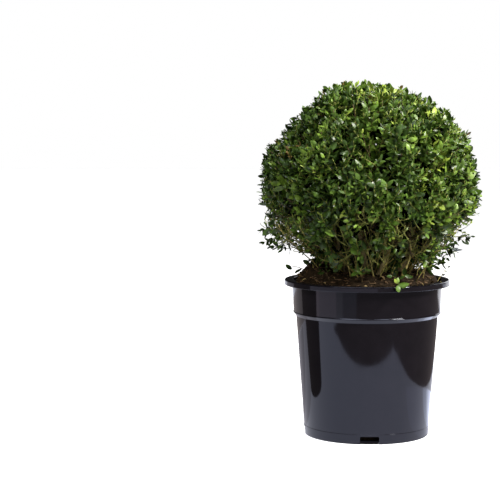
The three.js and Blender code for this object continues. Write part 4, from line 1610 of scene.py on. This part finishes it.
def grow_ball(settings, limbs, random):
    """The ball's own twigs, by name: its skeleton, its leafy surface and the shaded twigs under it."""
    inner, carriers, shoots = grow_skeleton(limbs)
    depth = 5 + random.uniform(0, 6, SECOND_BRANCHES)
    directions, tips = surface_tips(SECOND_BRANCHES, random, depth, 0.05)
    keep = within_ball(tips, drop=-4)
    directions, tips = directions[keep], tips[keep]
    parents = join_samples(carriers.samples((0.35, 0.55, 0.75, 0.95)), inner.samples((0.8, 1.0)))
    second = branch_to(tips, unit(directions + UP * 0.5), parents, wanted=62, tip_radius=0.5, turn=1.0)
    hosts = join_samples(carriers.samples((0.7, 0.85, 1.0)), shoots.samples((0.25, 0.55)),
                         second.samples((0.35, 0.5, 0.65, 0.8)))

    count = settings.surface_twigs
    directions, tips = surface_tips(count, random, 4 + 9 * random.uniform(0, 1, count) ** 2, 0.026)
    sunk = hollows(directions)
    tips = tips - directions * sunk[:, None]
    keep = within_ball(tips) & thinned(
        directions, random, 0.72, 0.5 * smoothstep(sunk, 8, 24), 0.86 * underside_openness(directions))
    directions, tips = directions[keep], tips[keep]
    lift = lerp(0.95, 0.35, np.abs(directions[:, 2:]))
    growth = unit(directions + UP * lift + random.normal(size=tips.shape) * 0.36)
    surface = branch_to(tips, growth, hosts, wanted=34, tip_radius=0.4)

    count = settings.inner_twigs
    directions, tips = surface_tips(count, random, random.uniform(20, 52, count), 0.04)
    tips = tips - directions * 0.7 * hollows(directions)[:, None]
    keep = within_ball(tips, drop=-6) & thinned(
        directions, random, 0.9, 0.4 * underside_openness(directions))
    directions, tips = directions[keep], tips[keep]
    growth = unit(directions + UP * 0.4 + random.normal(size=tips.shape) * 0.3)
    shaded = branch_to(tips, growth, hosts, wanted=26, tip_radius=0.35)
    directions, tips = surface_tips(HEART_TWIGS, random, random.uniform(55, 105, HEART_TWIGS), 0.06)
    keep = tips[:, 2] > skirt_height(tips) + 44
    parents = join_samples(inner.samples((0.3, 0.5, 0.7, 0.9)), carriers.samples((0.1, 0.3, 0.5)))
    heart = branch_to(tips[keep], directions[keep], parents, wanted=24, tip_radius=0.35)
    return dict(inner=inner, carriers=carriers, shoots=shoots, second=second, surface=surface,
                shaded=shaded, heart=heart)


def skirt_twigs(random, hosts):
    """Short twigs that fill the underside of the ball out to its edge."""
    index = np.arange(SKIRT_TWIGS)
    radius = np.sqrt(lerp(80 ** 2, 140 ** 2, (index + 0.5) / SKIRT_TWIGS))
    tips = round_axis(radius, index * GOLDEN_ANGLE, 0.0)
    tips[:, 0] += BALL_CENTRE[0]
    tips[:, 2] = skirt_height(tips) + random.uniform(2, 26, SKIRT_TWIGS)
    directions, _ = from_centre(tips)
    openings = 0.9 * underside_openness(directions)
    tips = tips[within_ball(tips) & thinned(directions, random, 0.85, openings)]
    outward = unit((tips - BALL_CENTRE) * (1, 1, 0.1))
    growth = unit(outward + random.normal(size=tips.shape) * 0.3)
    return branch_to(tips, growth, hosts, wanted=34, tip_radius=0.36)


def loose_twigs(random, count):
    """Sparse twigs low on the left and right, that stand or hang out against the sky."""
    left = np.arange(count) % 3 > 0
    azimuth = np.radians(np.where(left, 180, 0) + random.normal(0, 19, count))
    below = np.radians(np.where(left, random.uniform(-7, 31, count), random.uniform(12, 36, count)))
    directions = round_axis(np.cos(below), azimuth, -np.sin(below))
    ends = BALL_CENTRE + directions * (BALL_RADIUS - random.uniform(-2, 14, count))[:, None]
    length = random.uniform(26, 58, (count, 1))
    flat = unit(directions * (1, 1, 0))
    starts = ends - unit(directions + UP * random.normal(0.1, 0.45, (count, 1))) * length
    turn = flat + UP * random.normal(0.15, 0.75, (count, 1))
    turn = unit(turn + random.normal(size=ends.shape) * 0.2)
    controls = np.stack((starts, lerp(starts, ends, 0.38), ends - turn * length * 0.4, ends), axis=1)
    keep = clear_of_pot(ends, 5) & (ends[:, 2] > skirt_height(ends) - 14)
    return Twigs(controls, 0.7, 0.36).only(keep)


def shoot_feet(random, count, inner, outer):
    """Feet on the compost round the stems, closer in where the photograph shows bare compost."""
    turn = np.arange(count) * GOLDEN_ANGLE + random.uniform(-0.3, 0.3, count)
    outward = round_axis(1.0, turn, 0.0)
    bare = np.abs((np.degrees(turn) - BARE_SOIL_MIDDLE + 180) % 360 - 180) < BARE_SOIL_HALF
    radius = random.uniform(inner, np.where(bare, BARE_SOIL_RADIUS, outer))
    return outward, outward * radius[:, None] + UP * (soil_height_at(radius) - START_DEPTH)[:, None]


def rising_shoots(random, count):
    """Long thin shoots that lean out from beside the stems and climb into the lower ball."""
    outward, feet = shoot_feet(random, count, 20, 72)
    aside = np.cross(UP, outward) * random.normal(size=(count, 1)) * 0.3
    elevation = np.radians(random.uniform(-40, 0, count))[:, None]
    directions = unit(unit(outward + aside) * np.cos(elevation) + UP * np.sin(elevation))
    reach = clip_radius(directions) - random.uniform(3, 24, count)
    tips = BALL_CENTRE + directions * reach[:, None]
    keep = (skirt_height(tips) < tips[:, 2]) & thinned(directions, random, 0.5)
    feet, tips, outward = feet[keep], tips[keep], outward[keep]
    span = np.linalg.norm(tips - feet, axis=-1, keepdims=True)
    lean = unit(0.6 * outward + UP + random.normal(size=feet.shape) * 0.12)
    climb = unit(0.45 * outward + UP + random.normal(size=feet.shape) * 0.2)
    controls = np.stack((feet, feet + lean * span * 0.34, tips - climb * span * 0.36, tips), axis=1)
    return Twigs(controls, 1.1, 0.5)


def basal_shoots(random, count, outer, rise):
    """Short leafy shoots round the feet of the stems."""
    outward, feet = shoot_feet(random, count, 10, outer)
    height = random.uniform(*rise, (count, 1))
    lean = outward * random.uniform(0.05, 0.7, (count, 1)) + random.normal(size=(count, 3)) * 0.22
    tips = feet + (UP + lean * (1, 1, 0)) * height
    bend = feet + (UP + lean * (0.4, 0.4, 0)) * height * 0.45
    controls = np.stack((feet, lerp(feet, bend, 0.6), lerp(bend, tips, 0.4), tips), axis=1)
    return Twigs(controls, 0.6, 0.34)


def along_limbs(random, limbs, each, low_on_stem, low_on_bough, high):
    """Random places on the stems and boughs, with the way of the limb and a way square to it."""
    for stem, boughs in limbs.values():
        for limb, low in ((stem, low_on_stem), *((bough, low_on_bough) for bough in boughs)):
            for _ in range(each):
                share = random.uniform(low, high)
                along = limb.heading(share)
                yield limb.at(share), along, unit(np.cross(along, random.normal(size=3)))


def limb_sprays(random, limbs):
    """Short leafy twigs that leave the stems and boughs under the ball."""
    controls = []
    for start, along, around in along_limbs(random, limbs, SPRAYS_ON_LIMB, 0.3, 0.1, 0.98):
        leave = unit(around + along * 0.5 + unit(start * (1, 1, 0)) * 0.7)
        reach = random.uniform(14, 34)
        end = start + unit(leave + UP * 0.35) * reach
        controls.append((start, start + leave * reach * 0.4, end - UP * reach * 0.12, end))
    twigs = Twigs(np.array(controls), 0.75, 0.38)
    return twigs.only(clear_of_pot(twigs.ends(), 3) & (twigs.ends()[:, 2] > MOUND_Z + 6))


def bare_twigs(random, limbs):
    """Thin tan twigs with few leaves that rise from the stems and boughs into the ball."""
    controls = []
    for start, along, around in along_limbs(random, limbs, BARE_TWIGS_ON_LIMB, 0.1, 0.1, 0.9):
        away = unit(start * (1, 1, 0))
        leave = unit(1.3 * along + around * 0.7 + away * 0.5)
        reach = random.uniform(34, 84)
        end = start + unit(leave + UP * 0.8 + away * 0.6) * reach
        bend = end - UP * reach * 0.3 + random.normal(size=3) * reach * 0.07
        controls.append((start, start + leave * reach * 0.35, bend, end))
    twigs = Twigs(np.array(controls), 1.0, 0.45)
    return twigs.only(clear_of_pot(twigs.ends(), 3) & within_ball(twigs.ends(), slack=-8, drop=30))


def seen_from_front(points):
    """Where points stand in the view from the front, on the plane through the pot's axis."""
    near = VIEW_DISTANCE / (VIEW_DISTANCE + points[..., 1])
    return points[..., 0] * near, (points[..., 2] - VIEW_HEIGHT) * near


def hides_stem(points, limbs, with_boughs):
    """Whether points stand right in front of a stem, bough or thick shoot that the photograph shows."""
    in_view = []
    for name in STEMS_IN_VIEW:
        stem, boughs = limbs[name]
        in_view.append((stem.at(np.linspace(0, 1, 30)), STEM_VIEW_HALF))
        if with_boughs:
            in_view += [(bough.at(np.linspace(0, 0.75, 26)), BOUGH_VIEW_HALF) for bough in boughs]
    for girth, curve in SHOOTS_IN_VIEW:
        if girth > THICK_SHOOT:
            in_view.append((bezier(np.array(curve, float), np.linspace(0, 0.9, 24)), SHOOT_VIEW_HALF))
    hidden = np.zeros(len(points), bool)
    x, z = seen_from_front(points)
    for path, half in in_view:
        path_x, path_z = seen_from_front(path)
        apart = np.hypot(x[:, None] - path_x, z[:, None] - path_z)
        nearest = apart.argmin(axis=1)
        hidden |= (apart.min(axis=1) < half) & (points[:, 1] < path[nearest, 1] - 2)
    return hidden


def beside_stems(twigs, limbs):
    """The twigs that don't cross in front of the stems in view."""
    paths = twigs.paths()
    crossing = hides_stem(paths.reshape(-1, 3), limbs, False).reshape(paths.shape[:2])
    return twigs.only(crossing.sum(axis=1) < 2)


def in_gap(leaves, random):
    """Leaves to leave out: between the tufts low on the ball, and at its loose sides."""
    middles = leaves.middles()
    directions, distance = from_centre(middles)
    _, below = angles_of(directions)
    tufts = smoothstep(soft_noise(middles, 24, seed=44), -0.12, 0.16)
    front = lerp(0.35, 1.0, smoothstep(-directions[:, 1], -0.3, 0.3))
    low = smoothstep(below, 3, 20) * front * tufts
    near_surface = smoothstep(BALL_RADIUS - distance, 52, 34)
    # Leaves of the nearly black inner tint, painted shade, stay in the low gaps unless they are near the
    # surface
    low = np.where(leaves.tints == INNER_PAINTED_SHADE, low * near_surface, low)
    sides = 0.8 * side_openness(directions) * near_surface
    return random.uniform(0, 1, len(middles)) < np.maximum(0.93 * low, sides)


def twigs_of_ball(settings, limbs, random):
    """Every kind of twig in and under the ball, by name."""
    kinds = grow_ball(settings, limbs, random)
    hosts = join_samples(
        kinds["carriers"].samples((0.4, 0.6, 0.8, 1.0)), kinds["second"].samples((0.35, 0.55, 0.75)),
        kinds["inner"].samples((0.4, 0.7, 1.0)))
    kinds["skirt"] = skirt_twigs(random, hosts)
    kinds["loose"] = loose_twigs(random, settings.loose_twigs)
    kinds["rising"] = rising_shoots(random, settings.rising_shoots)
    kinds["risen"] = side_twigs(kinds["rising"], random, 3, (14, 30), 0.42)
    girths, curves = (np.array(part, float) for part in zip(*SHOOTS_IN_VIEW))
    kinds["in_view"] = Twigs(curves, girths, girths * SHOOT_IN_VIEW_TAPER)
    kinds["from_view"] = side_twigs(kinds["in_view"], random, 6, (5, 17), 0.3, 0.42)
    kinds["basal"] = basal_shoots(random, settings.basal_shoots, *BASAL_SPAN)
    kinds["ground"] = basal_shoots(random, settings.ground_shoots, *GROUND_SPAN)
    kinds["sprays"] = limb_sprays(random, limbs)
    kinds["bare"] = bare_twigs(random, limbs)
    for kind in ("skirt", "rising", "risen", "basal", "ground", "sprays", "bare"):
        kinds[kind] = beside_stems(kinds[kind], limbs)
    return kinds


def tints_for(kind, tips, random):
    """A tint for each twig of a kind."""
    # The shaded and heart twigs take the nearly black inner tint: painted shade deep in the ball
    if kind in ("shaded", "heart"):
        return np.full(len(tips), INNER_PAINTED_SHADE)
    if kind in ("in_view", "from_view", "bare"):
        return np.where(random.uniform(0, 1, len(tips)) < 0.55, LIME, FRESH)
    if kind in ("loose", "ground"):
        return np.where(random.uniform(0, 1, len(tips)) < 0.7, DEEP, MID)
    tints = deal_tints(tips, random)
    return np.clip(tints + 1, MID, LIME) if kind in ("rising", "risen") else tints


def leaves_of_ball(kinds, settings, limbs, random):
    """The leaves on every kind of twig, without those that shears, gaps or the view leave out."""
    def grown(*names):
        groups = []
        for kind in names:
            twigs, (low, size) = kinds[kind], LEAVES_ON[kind]
            if kind in CLIPPED:
                size = size * (1 - SMALLER_WHERE_OPEN * side_openness(from_centre(twigs.ends())[0]))
            tints = tints_for(kind, twigs.ends(), random)
            groups.append(leaves_on(twigs, tints, random, settings, low, size))
        return groups

    young = grown(*CLIPPED, "rising", "risen", "in_view", "from_view", "bare", "basal", "sprays")
    young = [colour_ends(group, random) for group in young]
    leaves = join_leaves(*young, *grown("shaded", "heart"))
    leaves = leaves.only(inside_clip(leaves.tips(), 4, LEAF_CLEARANCE))
    leaves = leaves.only(~in_gap(leaves, random))
    apart = join_leaves(*grown("loose", "ground"))
    leaves = join_leaves(leaves, apart.only(clear_of_pot(apart.tips(), LEAF_CLEARANCE)))
    hiding = hides_stem(leaves.middles(), limbs, True)
    return leaves.only(~(hiding & (random.uniform(0, 1, len(hiding)) < SHARE_HIDING_LEFT_OUT)))


def build_ball_foliage(settings):
    """The ball: its twigs from the boughs outward, and its leaves joined by tint and by half."""
    random = np.random.default_rng(SEED + 10)
    limbs = grow_limbs()
    kinds = twigs_of_ball(settings, limbs, random)
    leaves = leaves_of_ball(kinds, settings, limbs, random)
    for tint, name in enumerate(TINT_NAMES):
        # The inner leaves are plain and nearly without gloss, so that their painted shade stays dark
        form, gloss = (PLAIN_LEAF, 0.1) if tint == INNER_PAINTED_SHADE else (FULL_LEAF, 0.6)
        finish = leaf_finish(f"leaf_{name}", LEAF_TINTS[name], gloss=gloss)
        chosen = leaves.only(leaves.tints == tint)
        for half, here in (("front", chosen.roots[:, 1] < 0), ("back", chosen.roots[:, 1] >= 0)):
            joined = Joined()
            chosen.only(here).stamp(joined, random, settings.leaf_width, form=form)
            make_piece(f"leaves_{name}_{half}", joined, finish, ("clipped_ball",))

    colours = settings.twig_bark, settings.young_twig, settings.tan_twig
    for (name, sides), colour in zip(TWIG_PIECES.items(), colours):
        groups = [(kinds[kind], count) for kind, count in sides.items()]
        make_twigs(name, twig_finish(name, colour), groups)


def low_shoot_curves():
    """Curves of the low shoots, and of their side twigs and the stray ones, each with its tint."""
    mains, sides = [], []
    for row in LOW_SHOOTS.values():
        angle, radius = row["foot"]
        soil_z = float(soil_height_at(radius))
        start = on_circle(angle, radius, soil_z - START_DEPTH)
        out, up = row["reach"] * LOW_ARCH_OUT, row["rise"] * LOW_ARCH_UP
        arch = on_circle(angle, radius + out, soil_z + up)
        end = on_circle(angle + row.get("turn", 0), radius + row["reach"], soil_z + row["rise"])
        curve = np.array((start, lerp(start, arch, 2 / 3), lerp(end, arch, 2 / 3), end))
        mains.append((curve, row["tint"]))
        for share, out, aside, rise in row["sides"]:
            at = bezier(curve, np.array([share]))[0]
            tip = at + on_circle(angle, out, rise) + on_circle(angle + 90, aside, 0)
            side = at, lerp(at, tip, 0.35), lerp(at, tip, 0.7) + UP * 1.5, tip
            sides.append((side, row["tint"]))
    return mains, sides + [(curve, DEEP) for curve in STRAY_TWIGS]


def build_low_shoots(settings):
    """The short shoots that stand on the compost by themselves and arch outward over it."""
    random = np.random.default_rng(SEED + 40)
    twigs, leaves = [], []
    for rows, girths, bare in zip(low_shoot_curves(), LOW_SHOOT_GIRTHS, LOW_SHOOT_BARE):
        curves, tints = (np.array(part) for part in zip(*rows))
        twigs.append(Twigs(curves, *girths))
        leaves.append(leaves_on(twigs[-1], tints, random, settings, bare))
    leaves = join_leaves(*leaves)
    roots, blades, *others = (np.array(part, float) for part in zip(*POSED_LEAVES))
    posed = Leaves(roots, unit(blades), *others)
    apart = np.linalg.norm(leaves.middles()[:, None] - posed.middles(), axis=-1).min(axis=1)
    leaves = leaves.only(apart >= POSED_CLEARANCE)
    leaves = leaves.only(clear_of_pot(leaves.tips(), 0.5) & clear_of_pot(leaves.middles(), 0.5))
    nodes = [f"low_shoot_{name}" for name in LOW_SHOOTS]
    for tint in (DEEP, MID, FRESH, LIME):
        joined = Joined()
        leaves.only(leaves.tints == tint).stamp(joined, random, settings.leaf_width)
        posed.only(posed.tints == tint).stamp(joined, random, settings.leaf_width * 1.25)
        name = TINT_NAMES[tint]
        finish = leaf_finish(f"low_leaf_{name}", LEAF_TINTS[name])
        make_piece(f"low_shoot_leaves_{name}", joined, finish, nodes)
    finish = twig_finish("low_twig", settings.twig_bark)
    make_twigs("low_shoot_twigs", finish, zip(twigs, LOW_SHOOT_SIDES), nodes)


# Studio

def floor_finish(glow):
    """Matt white paper that is lit from under itself too, so that it runs into the backdrop."""
    material, _, shader = node_material("pale_floor")
    set_inputs(shader, {"Base Color": FLOOR_COLOUR, "Roughness": 0.9})
    set_inputs(shader, {"Emission Color": (*WHITE, 1), "Emission Strength": glow})
    return material


def glow_material(name, colour):
    """A surface that only gives light."""
    material, tree, shader = node_material(name)
    tree.nodes.remove(shader)
    glow = tree.nodes.new("ShaderNodeEmission")
    glow.inputs["Color"].default_value = (*colour, 1)
    tree.links.new(glow.outputs["Emission"], tree.nodes["Material Output"].inputs["Surface"])
    return material


def stage_card(name, points, material, faces=None):
    """A card of the studio, from points in metres. Without faces the points are its outline."""
    if faces is None:
        faces = np.arange(len(points))[None]
    mesh = mesh_from(name, Joined(np.array(points) / MM, faces))
    mesh.materials.append(material)
    card = new_object(name, mesh)
    card.visible_diffuse = False
    return card


def gloss_card(name, points, colour, faces=None):
    """A glowing card that only gloss reflects."""
    card = stage_card(name, points, glow_material(name, colour), faces)
    card.visible_camera = False
    card.visible_transmission = False
    card.visible_shadow = False


def at_height(corners, z):
    return [(x, y, z) for x, y in corners]


def ring_corners(radius, steps, centre=(0, 0)):
    return round_axis(radius, full_turn(steps), 0.0)[:, :2] + centre


def reflection_sector(start, end, inner, outer, z, steps=24):
    """Points and faces of a sector of a ring on the floor for a painted reflection, turned leftward from
    the front.
    """
    turn = np.radians(np.linspace(start, end, steps))
    around = np.stack((-np.sin(turn), -np.cos(turn), np.zeros(steps)), axis=-1)
    index = np.arange(2 * steps).reshape(2, steps)
    faces = np.stack((index[0, :-1], index[0, 1:], index[1, 1:], index[1, :-1]), axis=-1)
    return np.concatenate((around * inner, around * outer)) + UP * z, faces


def soft_light(name, place_at, aim, size, power, colour, in_gloss):
    """A large soft lamp that looks at a point."""
    lamp = bpy.data.lights.new(name, "AREA")
    lamp.shape = "RECTANGLE"
    lamp.size, lamp.size_y = size
    lamp.energy = power
    lamp.color = colour
    light = new_object(name, lamp)
    light.location = place_at
    x, y, z = np.array(aim) - np.array(place_at)
    light.rotation_euler = (math.atan2(math.hypot(x, y), -z), 0, math.atan2(-x, y))
    light.visible_camera = False
    light.visible_glossy = in_gloss


def place_camera(settings):
    scene = bpy.context.scene
    camera_data = bpy.data.cameras.new("camera")
    camera_data.lens = settings.lens
    camera_data.sensor_width = SENSOR_WIDTH
    camera_data.clip_start, camera_data.clip_end = CLIP
    camera = new_object("camera", camera_data)
    camera.location = settings.camera_place
    camera.rotation_euler = (math.pi / 2 - settings.camera_pitch, 0, 0)
    scene.camera = camera
    scene.view_settings.view_transform = "Standard"


def place_cards(settings):
    """The floor that the camera sees, and the floor, shade and flag that gloss sees, with a dark sheet
    and glowing sectors as painted reflections.
    """
    square = [(x * FLOOR_HALF, y * FLOOR_HALF) for x, y in SQUARE]
    floor = stage_card("floor", at_height(square, 0), floor_finish(settings.floor_glow))
    gloss_card("floor_in_gloss", at_height(square, 0), settings.gloss_floor)
    # A dark sheet that only gloss sees: painted dark reflection in the pot
    gloss_card("dark_floor", at_height(DARK_REFLECTION_CARD, DARK_REFLECTION_CARD_Z), settings.dark_card)
    flag = [at_height(ring_corners(radius, 48, DARK_FLAG), z) for radius, z in DARK_FLAG_RINGS]
    gloss_card("dark_flag", sum(flag, []), times(settings.dark_card, 0.5), ring_faces(2, 48))
    disc = ring_corners(SHADE_RADIUS, 64)
    shade = stage_card("shade_under_pot", at_height(disc, SHADE_Z), glow_material("shade", SHADE_COLOUR))
    gloss_card("shade_in_gloss", at_height(disc, SHADE_IN_GLOSS_Z), SHADE_COLOUR)
    for card in (floor, shade):
        card.visible_glossy = False
    # Glowing sectors that paint reflections in the pot's collar and wall
    for index, (*span, colour) in enumerate(REFLECTION_SECTORS):
        points, faces = reflection_sector(*span)
        gloss_card(f"floor_sector_{index + 1}", points, colour, faces)


def light_backdrop(ambient):
    """A world that the camera sees white and that lights the scene a little."""
    world = bpy.data.worlds.new("studio")
    bpy.context.scene.world = world
    world.use_nodes = True
    tree = world.node_tree
    background = tree.nodes["Background"]
    rays = tree.nodes.new("ShaderNodeLightPath")
    strength = add_range(tree, rays.outputs["Is Camera Ray"], ambient, 1.0, 0, 1)
    background.inputs["Color"].default_value = (*WHITE, 1)
    tree.links.new(strength, background.inputs["Strength"])


def build_studio(settings):
    place_camera(settings)
    place_cards(settings)
    light_backdrop(settings.ambient)
    for name, (place_at, size, power, colour, in_gloss) in LIGHTS.items():
        aim = BOUNCE_AIM if name == "bounce" else PLANT_MIDDLE
        power = power * settings.brightness
        soft_light(f"{name}_light", place_at, aim, size, power, colour, in_gloss)
    gloss_card("white_above", WHITE_ABOVE, settings.white_above)
    gloss_card("white_right", WHITE_RIGHT, WHITE_RIGHT_COLOUR)


# Operators, one for each group of pieces and one for the studio

class BOXBALL_OT_pot(bpy.types.Operator):
    """Builds the nursery pot with its lip, step and drain notches"""

    bl_idname = "box_ball.pot"
    bl_label = "Nursery Pot"

    def execute(self, context):
        build_pot(context.scene.ball_pot)
        return {"FINISHED"}


class BOXBALL_OT_compost(bpy.types.Operator):
    """Builds the mound of compost and what lies on it"""

    bl_idname = "box_ball.compost"
    bl_label = "Compost"

    def execute(self, context):
        settings = context.scene.ball_compost
        finish = compost_finish(settings)
        build_mound(settings, finish)
        build_crumbs(settings, finish)
        build_chips(settings)
        build_fallen_leaves(settings)
        build_litter(settings, twig_finish("litter", LITTER_COLOUR))
        return {"FINISHED"}


class BOXBALL_OT_wood(bpy.types.Operator):
    """Builds the stems and boughs with their bark"""

    bl_idname = "box_ball.wood"
    bl_label = "Stems and Boughs"

    def execute(self, context):
        settings = context.scene.ball_wood
        build_wood(settings, bark_finish(settings))
        return {"FINISHED"}


class BOXBALL_OT_ball_foliage(bpy.types.Operator):
    """Grows the twigs and leaves of the clipped ball from the boughs"""

    bl_idname = "box_ball.ball_foliage"
    bl_label = "Ball Foliage"

    def execute(self, context):
        build_ball_foliage(context.scene.ball_foliage)
        return {"FINISHED"}


class BOXBALL_OT_low_shoots(bpy.types.Operator):
    """Grows the low shoots on the compost"""

    bl_idname = "box_ball.low_shoots"
    bl_label = "Low Shoots"

    def execute(self, context):
        build_low_shoots(context.scene.ball_foliage)
        return {"FINISHED"}


class BOXBALL_OT_studio(bpy.types.Operator):
    """Sets up the camera, the pale floor and the soft lights"""

    bl_idname = "box_ball.studio"
    bl_label = "Studio"

    def execute(self, context):
        build_studio(context.scene.ball_studio)
        return {"FINISHED"}


OPERATORS = (
    BOXBALL_OT_studio,
    BOXBALL_OT_pot,
    BOXBALL_OT_compost,
    BOXBALL_OT_wood,
    BOXBALL_OT_ball_foliage,
    BOXBALL_OT_low_shoots,
)


class BOXBALL_PT_pieces(bpy.types.Panel):
    """Lists the pieces of the plant and their settings"""

    bl_label = "Box Ball"
    bl_idname = "BOXBALL_PT_pieces"
    bl_space_type = "VIEW_3D"
    bl_region_type = "UI"
    bl_category = "Box Ball"

    def draw(self, context):
        for operator in OPERATORS:
            self.layout.operator(operator.bl_idname)
        for name, group in SETTINGS.items():
            box = self.layout.box()
            for key in group.__annotations__:
                box.prop(getattr(context.scene, name), key)


def register():
    for group in SETTINGS.values():
        bpy.utils.register_class(group)
    for operator in OPERATORS:
        bpy.utils.register_class(operator)
    bpy.utils.register_class(BOXBALL_PT_pieces)
    for name, group in SETTINGS.items():
        setattr(bpy.types.Scene, name, bpy.props.PointerProperty(type=group))


def unregister():
    for name in SETTINGS:
        delattr(bpy.types.Scene, name)
    bpy.utils.unregister_class(BOXBALL_PT_pieces)
    for operator in reversed(OPERATORS):
        bpy.utils.unregister_class(operator)
    for group in reversed(SETTINGS.values()):
        bpy.utils.unregister_class(group)


def main():
    register()
    bpy.ops.box_ball.studio()
    bpy.ops.box_ball.pot()
    bpy.ops.box_ball.compost()
    bpy.ops.box_ball.wood()
    bpy.ops.box_ball.ball_foliage()
    bpy.ops.box_ball.low_shoots()


if __name__ == "__main__":
    main()
